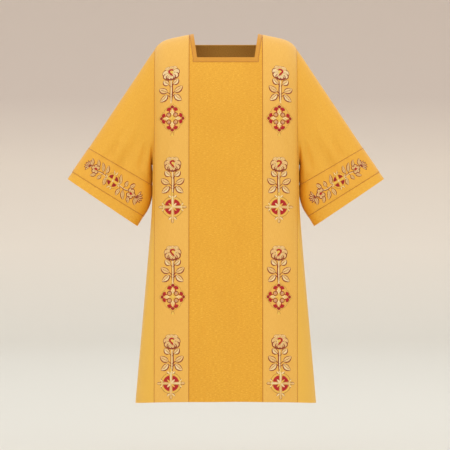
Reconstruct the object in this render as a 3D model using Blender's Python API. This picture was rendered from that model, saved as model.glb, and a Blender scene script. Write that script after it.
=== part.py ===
"""A dalmatic, held in the hollow shape that it has when it is worn.

Metres, +Z up, the front faces -Y. The origin lies in the open neck, midway between the
two neck points of the shoulder seams. Each piece of cloth is a closed wall of even thickness.
"""

import math

import bpy
import numpy as np

# Cloth and seams
PANEL_WALL = 0.002
TRIM_WALL = 0.0012
SEAM_GAP = 0.0003
TRIM_EDGE_INSET = 0.001

# Body heights, from the neck points down
HEM_Z = -1.256
HEM_RISE = 0.012
CHEST_Z = -0.311
UNDERARM_Z = -0.447
FRONT_NECK_Z = -0.081
BACK_NECK_Z = -0.032

# Body widths from the middle, seen from the front
CLAVUS_IN_X = 0.1243
ARMHOLE_X = 0.2403
NECK_FOOT_X = 0.097
NECK_SLOPE = 0.15
NECK_BAND_WIDTH = 0.0135
CHEST_HALF_WIDTH = 0.2485
SIDE_FLARE = 0.0884
FLARE_START_Z = -0.590
FLARE_SOFTNESS = 0.06

# Shoulder line: a straight slope from the neck that rounds over at the shoulder point
SHOULDER_NECK_X = 0.110
SHOULDER_SLOPE = 0.20
SHOULDER_DROP = 0.025
SHOULDER_ROUNDING = 14
SHOULDER_CURVE_POWER = 2.2

# Plan of the body: depth of the front and back, and how boxy each horizontal section is
BODY_SECTIONS = [
    dict(z=-1.256, front=0.176, back=0.168, power=2.9),
    dict(z=-0.900, front=0.160, back=0.149, power=3.1),
    dict(z=-0.600, front=0.148, back=0.134, power=3.5),
    dict(z=-0.311, front=0.143, back=0.130, power=4.0),
]

# Soft folds that hang down the body: middle, half-width, height out at the hem, top
BODY_FOLDS = [
    dict(side="front", x=-0.060, half_width=0.045, out=0.0060, top=-0.55),
    dict(side="front", x=0.045, half_width=0.050, out=-0.0060, top=-0.50),
    dict(side="front", x=-0.205, half_width=0.045, out=-0.0045, top=-0.70),
    dict(side="front", x=0.215, half_width=0.045, out=-0.0050, top=-0.66),
    dict(side="front", x=0.135, half_width=0.035, out=0.0040, top=-0.75),
    dict(side="back", x=0.000, half_width=0.050, out=-0.0080, top=-0.50),
    dict(side="back", x=-0.110, half_width=0.045, out=0.0070, top=-0.58),
    dict(side="back", x=0.115, half_width=0.050, out=0.0065, top=-0.62),
    dict(side="back", x=-0.215, half_width=0.040, out=-0.0050, top=-0.70),
    dict(side="back", x=0.210, half_width=0.045, out=-0.0045, top=-0.66),
]

# Sections across the wearer's left sleeve, each between its top and its underside.
# shape runs from the armhole's own outline (0) to the cuff's oval (1).
SLEEVE_SECTIONS = [
    dict(top=(0.2404, -0.0503), under=(0.2483, -0.4470), shape=0.00, rings=1),
    dict(top=(0.2640, -0.0836), under=(0.2536, -0.4450), shape=0.10, rings=1),
    dict(top=(0.3000, -0.1390), under=(0.2542, -0.4570), shape=0.30, rings=2),
    dict(top=(0.3500, -0.2160), under=(0.2542, -0.4750), shape=0.55, rings=2),
    dict(top=(0.4050, -0.3007), under=(0.2542, -0.4970), shape=0.80, rings=1),
    dict(top=(0.4585, -0.3843), under=(0.2542, -0.5184), shape=1.00, rings=1),
    dict(top=(0.4771, -0.4127), under=(0.2547, -0.5587), shape=1.00, rings=1),
    dict(top=(0.4958, -0.4411), under=(0.2607, -0.5954), shape=1.00, rings=1),
    dict(top=(0.5144, -0.4696), under=(0.2793, -0.6239), shape=1.00, rings=1),
    dict(top=(0.5331, -0.4980), under=(0.2980, -0.6523), shape=1.00, rings=0),
]
BAND_SECTIONS = (5, 8)
CUFF_HALF_DEPTH = 0.062
CUFF_OVAL_POWER = 2.3

# Soft folds along each sleeve: place across it (0 underside, 1 top), its size, and its ends
SLEEVE_FOLDS = [
    dict(side="front", across=0.70, half_width=0.07, out=-0.0040, start=0.35, end=0.98),
    dict(side="front", across=0.47, half_width=0.08, out=-0.0055, start=0.25, end=0.95),
    dict(side="front", across=0.58, half_width=0.06, out=0.0035, start=0.30, end=1.00),
    dict(side="back", across=0.62, half_width=0.08, out=-0.0055, start=0.25, end=0.95),
    dict(side="back", across=0.40, half_width=0.07, out=0.0045, start=0.30, end=1.00),
]

# Grid of the body panels, counted across and up
GORE_COLUMNS = 6
CLAVUS_SPLITS = (0.0, 0.26, 0.50, 0.71, 0.88, 1.0)
NECK_COLUMNS = 8
SKIRT_ROWS = 18
CHEST_ROWS = 5
SHOULDER_ROWS = {"front": 5, "back": 4}

# Colours and finishes
GOLD_CLOTH = dict(colour=(0.86, 0.46, 0.055, 1.0), roughness=0.55, metallic=0.25)
PALE_GOLD = dict(colour=(0.85, 0.50, 0.105, 1.0), roughness=0.50, metallic=0.20)
SATIN_GOLD = dict(colour=(0.85, 0.44, 0.045, 1.0), roughness=0.48, metallic=0.22)
DEEP_GOLD = dict(colour=(0.80, 0.34, 0.020, 1.0), roughness=0.45, metallic=0.30)

SIGN = {"front": -1.0, "back": 1.0}


def clear_scene():
    for thing in list(bpy.data.objects):
        bpy.data.objects.remove(thing)


def cloth_material(name, colour, roughness, metallic):
    material = bpy.data.materials.new(name)
    material.use_nodes = True
    shader = material.node_tree.nodes["Principled BSDF"]
    shader.inputs["Base Color"].default_value = colour
    shader.inputs["Roughness"].default_value = roughness
    shader.inputs["Metallic"].default_value = metallic
    return material


def smooth_step(value):
    value = min(max(value, 0.0), 1.0)
    return value * value * (3 - 2 * value)


def unit(vectors):
    return vectors / np.linalg.norm(vectors, axis=-1, keepdims=True)


# Shape of the body


def body_half_width(z):
    """Half of the width between the side seams, which flares below the ribs."""
    below = FLARE_START_Z - z
    return CHEST_HALF_WIDTH + SIDE_FLARE * (below + math.hypot(below, FLARE_SOFTNESS)) / 2


def section_value(z, key):
    heights = [section["z"] for section in BODY_SECTIONS]
    return float(np.interp(z, heights, [section[key] for section in BODY_SECTIONS]))


def shoulder_height(x):
    """Height of the shoulder seam at a distance x from the middle."""
    beyond = max(abs(x) - SHOULDER_NECK_X, 0.0)
    rounding = (abs(x) / ARMHOLE_X) ** SHOULDER_ROUNDING
    return -SHOULDER_SLOPE * beyond - SHOULDER_DROP * rounding


def section_depth(side, x, z):
    """Depth of the front or back at x, in the horizontal section at z, below the chest."""
    power = section_value(z, "power")
    share = min(abs(x) / body_half_width(z), 1.0)
    return section_value(z, side) * (1 - share**power) ** (1 / power)


def fold_height(side, x, z):
    """How far the soft folds of the body stand out at a point."""
    total = 0.0
    for fold in BODY_FOLDS:
        if fold["side"] == side:
            spread = math.exp(-(((x - fold["x"]) / fold["half_width"]) ** 2))
            total += fold["out"] * spread * smooth_step((fold["top"] - z) / (fold["top"] - HEM_Z))
    return total


def skirt_point(side, x, share):
    """A point of the body below the chest; share is 0 at the hem and 1 at the chest."""
    depth_share = section_depth(side, x, HEM_Z) / section_value(HEM_Z, side)
    hem = HEM_Z + HEM_RISE * depth_share**2
    z = hem + share * (CHEST_Z - hem)
    depth = section_depth(side, x, z) + fold_height(side, x, z)
    return (x, SIGN[side] * depth, z)


def gore_point(side, hand, across, share):
    """A point of the side gore; across is 0 at the side seam and 1 below the armhole seam."""
    edge_share = section_depth(side, ARMHOLE_X, HEM_Z) / section_value(HEM_Z, side)
    hem = HEM_Z + HEM_RISE * (across * edge_share) ** 2
    top = UNDERARM_Z + (CHEST_Z - UNDERARM_Z) * (1 - math.sqrt(1 - across**2))
    z = hem + share * (top - hem)
    power = section_value(z, "power")
    full = section_value(z, side)
    depth = across * section_depth(side, ARMHOLE_X, z)
    x = body_half_width(z) * (1 - (depth / full) ** power) ** (1 / power)
    depth += across * fold_height(side, hand * ARMHOLE_X, z)
    return (hand * x, SIGN[side] * depth, z)


def shoulder_point(side, x, rise):
    """A point of the body above the chest; rise is 0 at the chest and 1 at the shoulder seam."""
    power = SHOULDER_CURVE_POWER
    depth = section_depth(side, x, CHEST_Z) * (1 - rise**power) ** (1 / power)
    z = CHEST_Z + rise * (shoulder_height(x) - CHEST_Z)
    return (x, SIGN[side] * depth, z)


def neck_edge_x(z):
    """Half-width of the neck opening, which narrows towards its foot."""
    return NECK_FOOT_X + NECK_SLOPE * max(z - FRONT_NECK_Z, 0.0)


def centre_columns(rise):
    """x of each grid line between the two bands of trim, spread evenly below the chest and
    gathered at the sides of the neck above it."""
    count = NECK_COLUMNS + 4
    even = np.linspace(-CLAVUS_IN_X, CLAVUS_IN_X, count + 1)
    neck = neck_edge_x(CHEST_Z * (1 - rise))
    side = [neck + NECK_BAND_WIDTH, CLAVUS_IN_X]
    at_neck = [-side[1], -side[0], *np.linspace(-neck, neck, NECK_COLUMNS + 1), side[0], side[1]]
    weight = smooth_step(rise / neck_rises("front")[0])
    return (1 - weight) * even + weight * np.array(at_neck)


def neck_rises(side):
    """Rise of the neck band's lower edge and of the neck opening's foot."""
    foot = FRONT_NECK_Z if side == "front" else BACK_NECK_Z
    return [1 - (foot - NECK_BAND_WIDTH) / CHEST_Z, 1 - foot / CHEST_Z]


def row_rises(side):
    """Rise of each row above the chest, closer together where the shoulder turns over."""
    band, foot = neck_rises(side)
    turn = SHOULDER_CURVE_POWER / 2
    angles = [math.asin(rise**turn) for rise in (band, foot)]
    lower = np.linspace(0, angles[0], CHEST_ROWS + 1)
    upper = np.linspace(angles[1], math.pi / 2, SHOULDER_ROWS[side] + 1)
    rises = [math.sin(angle) ** (1 / turn) for angle in [*lower, *upper]]
    return np.minimum(np.array(rises), 1.0)


def body_grid(side):
    """Points of a whole front or back, as rows from the hem up. The gores have no rows above
    the chest, so their columns there repeat the chest row and no cell uses them."""
    clavus = CLAVUS_IN_X + (ARMHOLE_X - CLAVUS_IN_X) * np.array(CLAVUS_SPLITS)
    gore = np.arange(GORE_COLUMNS) / GORE_COLUMNS
    rows = []
    for share in np.linspace(0, 1, SKIRT_ROWS + 1):
        middle = [*-clavus[:0:-1], *centre_columns(0.0), *clavus[1:]]
        left = [gore_point(side, -1, across, share) for across in gore]
        right = [gore_point(side, 1, across, share) for across in gore[::-1]]
        rows.append([*left, *[skirt_point(side, x, share) for x in middle], *right])
    for rise in row_rises(side)[1:]:
        middle = [*-clavus[:0:-1], *centre_columns(rise), *clavus[1:]]
        left = rows[SKIRT_ROWS][:GORE_COLUMNS]
        right = rows[SKIRT_ROWS][-GORE_COLUMNS:]
        rows.append([*left, *[shoulder_point(side, x, rise) for x in middle], *right])
    return np.array(rows)


# Walls of cloth


def grid_normals(points, cells, outward):
    """Outward direction at each point, from the cells around it."""
    normals = np.zeros_like(points)
    for row, column in cells:
        corners = [(row, column), (row, column + 1), (row + 1, column + 1), (row + 1, column)]
        a, b, c, d = [points[corner] for corner in corners]
        facing = np.cross(c - a, d - b) * outward
        for corner in corners:
            normals[corner] += facing
    lengths = np.linalg.norm(normals, axis=-1, keepdims=True)
    return normals / np.where(lengths > 0, lengths, 1.0)


def wall(name, inner, outer, cells, material, outward, ring=False):
    """One closed solid between two grids of points, made of the given cells. With ring set,
    the last column of each row is the first one again."""
    rows, columns = inner.shape[:2]
    turn = columns - 1 if ring else columns
    index, points, faces, edges = {}, [], [], {}

    def corner(row, column, skin):
        key = (row, column % turn, skin)
        if key not in index:
            index[key] = len(points)
            points.append(tuple((outer if skin else inner)[row, column % turn]))
        return index[key]

    for row, column in cells:
        loop = [(row, column), (row, column + 1), (row + 1, column + 1), (row + 1, column)]
        if outward < 0:
            loop.reverse()
        top = [corner(*place, 1) for place in loop]
        low = [corner(*place, 0) for place in loop]
        faces += [(top[0], top[1], top[2]), (top[0], top[2], top[3])]
        faces += [(low[0], low[2], low[1]), (low[0], low[3], low[2])]
        for start in range(4):
            end = (start + 1) % 4
            side = (top[start], top[end], low[end], low[start])
            twin = (top[end], top[start])
            if twin in edges:
                del edges[twin]
            else:
                edges[(top[start], top[end])] = side
    for a, b, c, d in edges.values():
        faces += [(b, a, d), (b, d, c)]
    mesh = bpy.data.meshes.new(name)
    mesh.from_pydata(points, [], faces)
    mesh.materials.append(material)
    mesh.shade_smooth()
    mesh.set_sharp_from_angle(angle=math.radians(40))
    solid = bpy.data.objects.new(name, mesh)
    bpy.context.scene.collection.objects.link(solid)
    return solid


def skins(points, normals, low, high):
    return points + normals * low, points + normals * high


def pull_in(points, edge, inside, distance):
    """The points of an edge, moved a little towards the next line of points."""
    return points[edge] + unit(points[inside] - points[edge]) * distance


# Front, back and the trim on them


def body_cells(side):
    """Cells of a front or back: whole below the chest, without gores above it, and open at
    the neck."""
    columns = 2 * GORE_COLUMNS + 2 * (len(CLAVUS_SPLITS) - 1) + NECK_COLUMNS + 4
    total_rows = SKIRT_ROWS + CHEST_ROWS + 1 + SHOULDER_ROWS[side]
    neck_foot_row = SKIRT_ROWS + CHEST_ROWS + 1
    neck_left = GORE_COLUMNS + len(CLAVUS_SPLITS) - 1 + 2
    cells = []
    for row in range(total_rows):
        for column in range(columns):
            on_gore = not GORE_COLUMNS <= column < columns - GORE_COLUMNS
            in_neck = neck_left <= column < neck_left + NECK_COLUMNS
            if row >= SKIRT_ROWS and on_gore or row >= neck_foot_row and in_neck:
                continue
            cells.append((row, column))
    return cells


def body_surface(side):
    """The middle of the cloth of a front or back, its outward directions and its cells."""
    points = body_grid(side)
    cells = body_cells(side)
    normals = grid_normals(points, cells, -SIGN[side])
    for seam in (np.s_[:, 0], np.s_[:, -1], np.s_[-1, :]):
        flat = normals[seam].copy()
        flat[:, 1] = 0
        lengths = np.linalg.norm(flat, axis=-1, keepdims=True)
        normals[seam] = flat / np.where(lengths > 0, lengths, 1.0)
    return points, normals, cells


def body_panel(side, surface, material):
    points, normals, cells = surface
    points = points.copy()
    half_gap = SEAM_GAP / 2
    skirt = slice(0, SKIRT_ROWS + 1)
    points[skirt, 0] = pull_in(points, np.s_[skirt, 0], np.s_[skirt, 1], half_gap)
    points[skirt, -1] = pull_in(points, np.s_[skirt, -1], np.s_[skirt, -2], half_gap)
    shoulder = slice(GORE_COLUMNS, points.shape[1] - GORE_COLUMNS)
    points[-1, shoulder, 1] += SIGN[side] * half_gap
    inner, outer = skins(points, normals, -PANEL_WALL / 2, PANEL_WALL / 2)
    return wall(side, inner, outer, cells, material, -SIGN[side])


def clavus(name, hand, surfaces, material):
    """The upright band that lies on the front, turns over the shoulder and runs down the
    back, made from the same points as the panels under it."""
    first = GORE_COLUMNS if hand < 0 else -GORE_COLUMNS - len(CLAVUS_SPLITS)
    span = slice(first, first + len(CLAVUS_SPLITS))
    front, front_normals, _ = surfaces["front"]
    back, back_normals, _ = surfaces["back"]
    points = np.concatenate([front[:, span], back[-2::-1, span]])
    normals = np.concatenate([front_normals[:, span], back_normals[-2::-1, span]])
    armhole, beside = (0, 1) if hand < 0 else (-1, -2)
    points[:, armhole] = pull_in(
        points, np.s_[:, armhole], np.s_[:, beside], TRIM_EDGE_INSET
    )
    for end, inside in ((0, 1), (-1, -2)):
        points[end] = pull_in(points, end, inside, SEAM_GAP)
    cells = [
        (row, column)
        for row in range(points.shape[0] - 1)
        for column in range(points.shape[1] - 1)
    ]
    base = PANEL_WALL / 2 + SEAM_GAP
    inner, outer = skins(points, normals, base, base + TRIM_WALL)
    return wall(name, inner, outer, cells, material, 1.0)


def neck_band(name, side, surface, material):
    """The flat band round the square neck, up to the shoulder seams."""
    points, normals, _ = surface
    points = points.copy()
    band_row = SKIRT_ROWS + CHEST_ROWS
    left = GORE_COLUMNS + len(CLAVUS_SPLITS)
    right = left + NECK_COLUMNS + 1
    cells = [(band_row, column) for column in range(left, right + 1)]
    for row in range(band_row + 1, points.shape[0] - 1):
        cells += [(row, left), (row, right)]
    points[-1, :, 1] += SIGN[side] * SEAM_GAP / 2
    base = PANEL_WALL / 2 + SEAM_GAP
    inner, outer = skins(points, normals, base, base + TRIM_WALL)
    return wall(name, inner, outer, cells, material, -SIGN[side])


# Sleeves


def armhole_loop(hand, surfaces):
    """The armhole seam from the shoulder point down the front, under the arm and up the
    back: its points, the outward directions there and the directions away from the body."""
    points, normals = [], []
    for side in ("front", "back"):
        grid, directions, _ = surfaces[side]
        edge = GORE_COLUMNS if hand < 0 else -GORE_COLUMNS - 1
        gore = range(edge - 1, -1, -1) if hand < 0 else range(edge + 1, 0)
        places = [(row, edge) for row in range(grid.shape[0] - 1, SKIRT_ROWS - 1, -1)]
        places += [(SKIRT_ROWS, column) for column in gore]
        if side == "back":
            places = places[-2:0:-1]
        points += [grid[place] for place in places]
        normals += [directions[place] for place in places]
    points, normals = np.array(points), np.array(normals)
    along = np.roll(points, -1, axis=0) - np.roll(points, 1, axis=0)
    away = unit(np.cross(normals, along))
    middle = points.mean(axis=0)
    outside = np.array([hand, 0.0, 0.0])
    lower_rim = points[:, 2] < CHEST_Z - SEAM_GAP
    facing = np.where(
        lower_rim, np.sum(away * (middle - points), axis=1), np.sum(away * outside, axis=1)
    )
    away *= np.sign(facing)[:, None]
    return points, normals, away


def section_rails():
    """Top, underside and shape of each ring of the sleeve, read from its sections along a
    smooth curve."""
    values = np.array([[*s["top"], *s["under"], s["shape"]] for s in SLEEVE_SECTIONS])
    rails, marks = [], []
    last = len(values) - 1
    for number, section in enumerate(SLEEVE_SECTIONS):
        marks.append(len(rails))
        before, here = values[max(number - 1, 0)], values[number]
        after, beyond = values[min(number + 1, last)], values[min(number + 2, last)]
        for step in range(section["rings"]):
            t = step / section["rings"]
            cubic = (
                2 * here
                + (after - before) * t
                + (2 * before - 5 * here + 4 * after - beyond) * t**2
                + (3 * here - before - 3 * after + beyond) * t**3
            )
            rails.append(cubic / 2)
    rails.append(values[-1])
    return np.array(rails), marks


def sleeve_surface(hand, surfaces):
    """The middle of the sleeve's cloth as rings from the armhole to the hem, the outward
    directions, and the numbers of the rings that stand at the sections."""
    seam, seam_normals, away = armhole_loop(hand, surfaces)
    count = len(seam)
    under = count // 2
    rails, marks = section_rails()
    top_point, under_point = seam[0], seam[under]
    span = top_point - under_point
    span[1] = 0
    base_across = (seam - under_point) @ span / (span @ span)
    offset = seam - under_point - base_across[:, None] * span
    base_sideways = offset[:, 0] * hand
    base_depth = seam[:, 1]
    turn = np.arange(count) / count * 2 * math.pi
    power = 2 / CUFF_OVAL_POWER
    cuff_across = 0.5 + 0.5 * np.sign(np.cos(turn)) * np.abs(np.cos(turn)) ** power
    cuff_depth = -CUFF_HALF_DEPTH * np.sign(np.sin(turn)) * np.abs(np.sin(turn)) ** power
    rings = []
    for number, (top_x, top_z, under_x, under_z, shape) in enumerate(rails):
        across = base_across * (1 - shape) + cuff_across * shape
        depth = base_depth * (1 - shape) + cuff_depth * shape
        sideways = base_sideways * (1 - shape)
        progress = number / (len(rails) - 1)
        depth = depth + sleeve_fold_heights(across, depth, progress)
        x = under_x + across * (top_x - under_x) + sideways
        z = under_z + across * (top_z - under_z)
        rings.append(np.stack([hand * x, depth, z], axis=-1))
    rings = np.array(rings)
    lean = under_arm_lean(seam)
    base_normals = unit(seam_normals * (1 - lean) - away * lean)
    reach = SEAM_GAP + PANEL_WALL / 2 * np.abs(np.sum(base_normals * away, axis=1))
    rings[0] = seam + away * reach[:, None]
    closed = np.concatenate([rings, rings[:, :1]], axis=1)
    cells = ring_cells(0, len(rails) - 1, count)
    normals = grid_normals(closed, cells, hand)
    joined = unit(normals[:, 0] + normals[:, -1])
    normals[:, 0] = joined
    normals[:, -1] = joined
    normals[0] = np.concatenate([base_normals, base_normals[:1]])
    return closed, normals, marks


def under_arm_lean(seam):
    """0 on the upright part of the armhole seam, rising to 1 under the arm, where the sleeve
    folds over the top of the gore."""
    drop = (CHEST_Z - seam[:, 2]) / (CHEST_Z - UNDERARM_Z)
    return np.array([smooth_step(share) for share in drop])[:, None]


def sleeve_fold_heights(across, depth, progress):
    heights = np.zeros_like(depth)
    for fold in SLEEVE_FOLDS:
        sign = SIGN[fold["side"]]
        on_side = np.where(depth * sign > 0, np.minimum(np.abs(depth) / 0.03, 1.0), 0.0)
        spread = np.exp(-(((across - fold["across"]) / fold["half_width"]) ** 2))
        share = (progress - fold["start"]) / (fold["end"] - fold["start"])
        strength = math.sin(math.pi * min(max(share, 0.0), 1.0))
        heights += sign * fold["out"] * spread * on_side * strength
    return heights


def ring_cells(first, last, count):
    return [(row, column) for row in range(first, last) for column in range(count)]


def sleeve(name, hand, surface, material):
    points, normals, _ = surface
    cells = ring_cells(0, points.shape[0] - 1, points.shape[1] - 1)
    inner, outer = skins(points, normals, -PANEL_WALL / 2, PANEL_WALL / 2)
    return wall(name, inner, outer, cells, material, hand, ring=True)


def sleeve_band(name, hand, surface, material):
    """The band of trim that goes round the sleeve above its hem."""
    points, normals, marks = surface
    cells = ring_cells(marks[BAND_SECTIONS[0]], marks[BAND_SECTIONS[1]], points.shape[1] - 1)
    base = PANEL_WALL / 2 + SEAM_GAP
    inner, outer = skins(points, normals, base, base + TRIM_WALL)
    return wall(name, inner, outer, cells, material, hand, ring=True)


def main():
    clear_scene()
    gold = cloth_material("gold_cloth", **GOLD_CLOTH)
    pale = cloth_material("pale_gold_band", **PALE_GOLD)
    satin = cloth_material("gold_satin_band", **SATIN_GOLD)
    deep = cloth_material("deep_gold_neck_band", **DEEP_GOLD)
    surfaces = {side: body_surface(side) for side in SIGN}
    for side in SIGN:
        body_panel(side, surfaces[side], gold)
        neck_band(f"neck_band_{side}", side, surfaces[side], deep)
    for hand, word in ((1, "left"), (-1, "right")):
        clavus(f"clavus_{word}", hand, surfaces, pale)
        surface = sleeve_surface(hand, surfaces)
        sleeve(f"sleeve_{word}", hand, surface, gold)
        sleeve_band(f"sleeve_band_{word}", hand, surface, satin)


main()
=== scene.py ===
"""The looks of the dalmatic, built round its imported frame.

Metres, +Z up, the front faces -Y. The cloth follows the frame's own surfaces with more
points and the small creases. Embroidery, seam lines and stitches lie on it as pieces of
their own. Left and right are the wearer's.
"""

import math

import bpy
import numpy as np
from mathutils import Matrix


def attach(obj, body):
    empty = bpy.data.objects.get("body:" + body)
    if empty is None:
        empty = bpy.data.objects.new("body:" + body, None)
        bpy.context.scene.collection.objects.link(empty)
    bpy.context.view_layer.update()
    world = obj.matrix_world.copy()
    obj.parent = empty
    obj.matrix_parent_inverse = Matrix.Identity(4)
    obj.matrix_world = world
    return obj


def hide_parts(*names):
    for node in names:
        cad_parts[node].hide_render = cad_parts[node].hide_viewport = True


# Cloth
PANEL_WALL = 0.0016
STRIP_BASE = 0.0010
STRIP_THICKNESS = 0.0010
TURNED_EDGE_SHARE = 0.25
SEAM_GAP = 0.0003
HEM_TURN = 0.028
HEM_TURN_THICKNESS = 0.0007
HEM_TURN_EDGE = 0.0015
OUTER_EDGE_SHARE = 0.3
INNER_EDGE_SHARE = 0.5
BAND_ROUNDING = 0.004
PUCKER_HEIGHT = 0.00022
PUCKER_PITCH = 0.013
PUCKER_WANDER = 0.071
PUCKER_REACH = 0.010
CREASE_FADE = 0.35
CREASE_TURN_DEPTH = 0.012
FOLD_TURN_DEPTH = 0.03
SHARP_ANGLE = 50

# The frame's own sizes: heights from the neck points down, and half-widths
HEM_Z = -1.256
HEM_RISE = 0.012
CHEST_Z = -0.311
UNDERARM_Z = -0.447
NECK_FOOT_Z = {"front": -0.0852, "back": -0.032}
CLAVUS_IN_X = 0.1243
ARMHOLE_X = 0.2403
NECK_FOOT_X = 0.097
NECK_SLOPE = 0.15
NECK_BAND_WIDTH = 0.0135
FOOT_BAND_WIDTH = {"front": 0.0155, "back": 0.0135}
CHEST_HALF_WIDTH = 0.2485
SIDE_FLARE = 0.0884
FLARE_START_Z = -0.590
FLARE_SOFTNESS = 0.06
SHOULDER_NECK_X = 0.110
SHOULDER_SLOPE = 0.20
SHOULDER_DROP = 0.025
SHOULDER_ROUNDING = 14
SHOULDER_CURVE_POWER = 2.2
CUFF_HALF_DEPTH = 0.062
CUFF_OVAL_POWER = 2.9
SLEEVE_WIDTH = 0.280

# The frame's tables
BODY_SECTIONS = [
    dict(z=-1.256, front=0.176, back=0.168, power=2.9),
    dict(z=-0.900, front=0.160, back=0.149, power=3.1),
    dict(z=-0.600, front=0.148, back=0.134, power=3.5),
    dict(z=-0.311, front=0.143, back=0.130, power=4.0),
]
BODY_FOLDS = [
    dict(side="front", x=-0.060, half_width=0.045, out=0.0060, top=-0.55),
    dict(side="front", x=0.045, half_width=0.050, out=-0.0060, top=-0.50),
    dict(side="front", x=-0.205, half_width=0.045, out=-0.0045, top=-0.70),
    dict(side="front", x=0.215, half_width=0.045, out=-0.0050, top=-0.66),
    dict(side="front", x=0.135, half_width=0.035, out=0.0040, top=-0.75),
    dict(side="back", x=0.000, half_width=0.050, out=-0.0080, top=-0.50),
    dict(side="back", x=-0.110, half_width=0.045, out=0.0070, top=-0.58),
    dict(side="back", x=0.115, half_width=0.050, out=0.0065, top=-0.62),
    dict(side="back", x=-0.215, half_width=0.040, out=-0.0050, top=-0.70),
    dict(side="back", x=0.210, half_width=0.045, out=-0.0045, top=-0.66),
]
SLEEVE_SECTIONS = [
    dict(top=(0.2404, -0.0503), under=(0.2483, -0.4470), shape=0.00, rings=1, steps=7),
    dict(top=(0.2640, -0.0836), under=(0.2532, -0.4450), shape=0.10, rings=1, steps=11),
    dict(top=(0.3004, -0.1387), under=(0.2525, -0.4570), shape=0.30, rings=2, steps=15),
    dict(top=(0.3515, -0.2150), under=(0.2511, -0.4750), shape=0.55, rings=2, steps=17),
    dict(top=(0.4074, -0.2991), under=(0.2513, -0.4970), shape=0.80, rings=1, steps=16),
    dict(top=(0.4676, -0.3895), under=(0.2528, -0.5150), shape=1.00, rings=1, steps=6),
    dict(top=(0.4860, -0.4163), under=(0.2541, -0.5560), shape=1.00, rings=1, steps=6),
    dict(top=(0.5044, -0.4430), under=(0.2640, -0.5905), shape=1.00, rings=1, steps=6),
    dict(top=(0.5228, -0.4698), under=(0.2815, -0.6205), shape=1.00, rings=1, steps=6),
    dict(top=(0.5396, -0.4939), under=(0.3020, -0.6543), shape=1.00, rings=0, steps=0),
]
BAND_SECTIONS = (5, 8)
SLEEVE_FOLDS = [
    dict(side="front", across=0.70, half_width=0.07, out=-0.0040, start=0.35, end=0.98),
    dict(side="front", across=0.47, half_width=0.08, out=-0.0055, start=0.25, end=0.95),
    dict(side="front", across=0.58, half_width=0.06, out=0.0035, start=0.30, end=1.00),
    dict(side="back", across=0.62, half_width=0.08, out=-0.0055, start=0.25, end=0.95),
    dict(side="back", across=0.40, half_width=0.07, out=0.0045, start=0.30, end=1.00),
]

# Creases of the body: places are (distance from the middle across the cloth, height)
BODY_CREASES = [
    dict(side="front", start=(0.205, -0.300), end=(0.235, -0.520), half_width=0.012, out=-0.0022),
    dict(side="front", start=(-0.200, -0.320), end=(-0.236, -0.560), half_width=0.013, out=-0.0024),
    dict(side="front", start=(0.030, -0.620), end=(0.052, -1.120), half_width=0.020, out=-0.0022),
    dict(side="front", start=(-0.070, -0.700), end=(-0.082, -1.200), half_width=0.018, out=0.0018),
    dict(side="front", start=(0.290, -0.560), end=(0.330, -1.150), half_width=0.017, out=0.0028),
    dict(side="front", start=(-0.285, -0.600), end=(-0.325, -1.190), half_width=0.019, out=0.0030),
    dict(side="back", start=(0.190, -0.250), end=(0.236, -0.500), half_width=0.014, out=-0.0026),
    dict(side="back", start=(-0.196, -0.280), end=(-0.234, -0.540), half_width=0.013, out=-0.0024),
    dict(side="back", start=(0.010, -0.560), end=(-0.020, -1.150), half_width=0.020, out=-0.0026),
    dict(side="back", start=(0.100, -0.680), end=(0.118, -1.200), half_width=0.018, out=0.0024),
    dict(side="back", start=(-0.095, -0.620), end=(-0.120, -1.180), half_width=0.020, out=0.0022),
    dict(side="back", start=(0.285, -0.600), end=(0.320, -1.190), half_width=0.018, out=0.0028),
    dict(side="back", start=(-0.290, -0.560), end=(-0.330, -1.160), half_width=0.017, out=0.0030),
]

# Creases of a sleeve: places are (distance from its underside, distance above its hem)
SLEEVE_CREASES = [
    dict(side="front", start=(0.196, 0.235), end=(0.193, 0.128), half_width=0.0075, out=-0.0030),
    dict(side="front", start=(0.182, 0.260), end=(0.177, 0.120), half_width=0.0085, out=0.0020),
    dict(side="front", start=(0.152, 0.250), end=(0.128, 0.130), half_width=0.0090, out=-0.0030),
    dict(side="front", start=(0.085, 0.420), end=(0.062, 0.160), half_width=0.0160, out=-0.0050),
    dict(side="front", start=(0.240, 0.430), end=(0.232, 0.260), half_width=0.0110, out=-0.0016),
    dict(side="back", start=(0.190, 0.300), end=(0.176, 0.130), half_width=0.0100, out=-0.0030),
    dict(side="back", start=(0.130, 0.330), end=(0.112, 0.120), half_width=0.0110, out=-0.0034),
    dict(side="back", start=(0.082, 0.420), end=(0.060, 0.170), half_width=0.0160, out=-0.0045),
]

# Grid of the visible cloth
GORE_CELLS = 18
CLAVUS_EDGE_LINES = (0.0, 0.0007, 0.0016, 0.0032)
CLAVUS_INNER_CELLS = 17
NECK_SIDE_CELLS = 3
BAND_CELLS = 3
NECK_CELLS = 26
SKIRT_CELLS = 140
CHEST_CELLS = 34
BAND_ROW_CELLS = 3
SHOULDER_CELLS = 22

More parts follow.
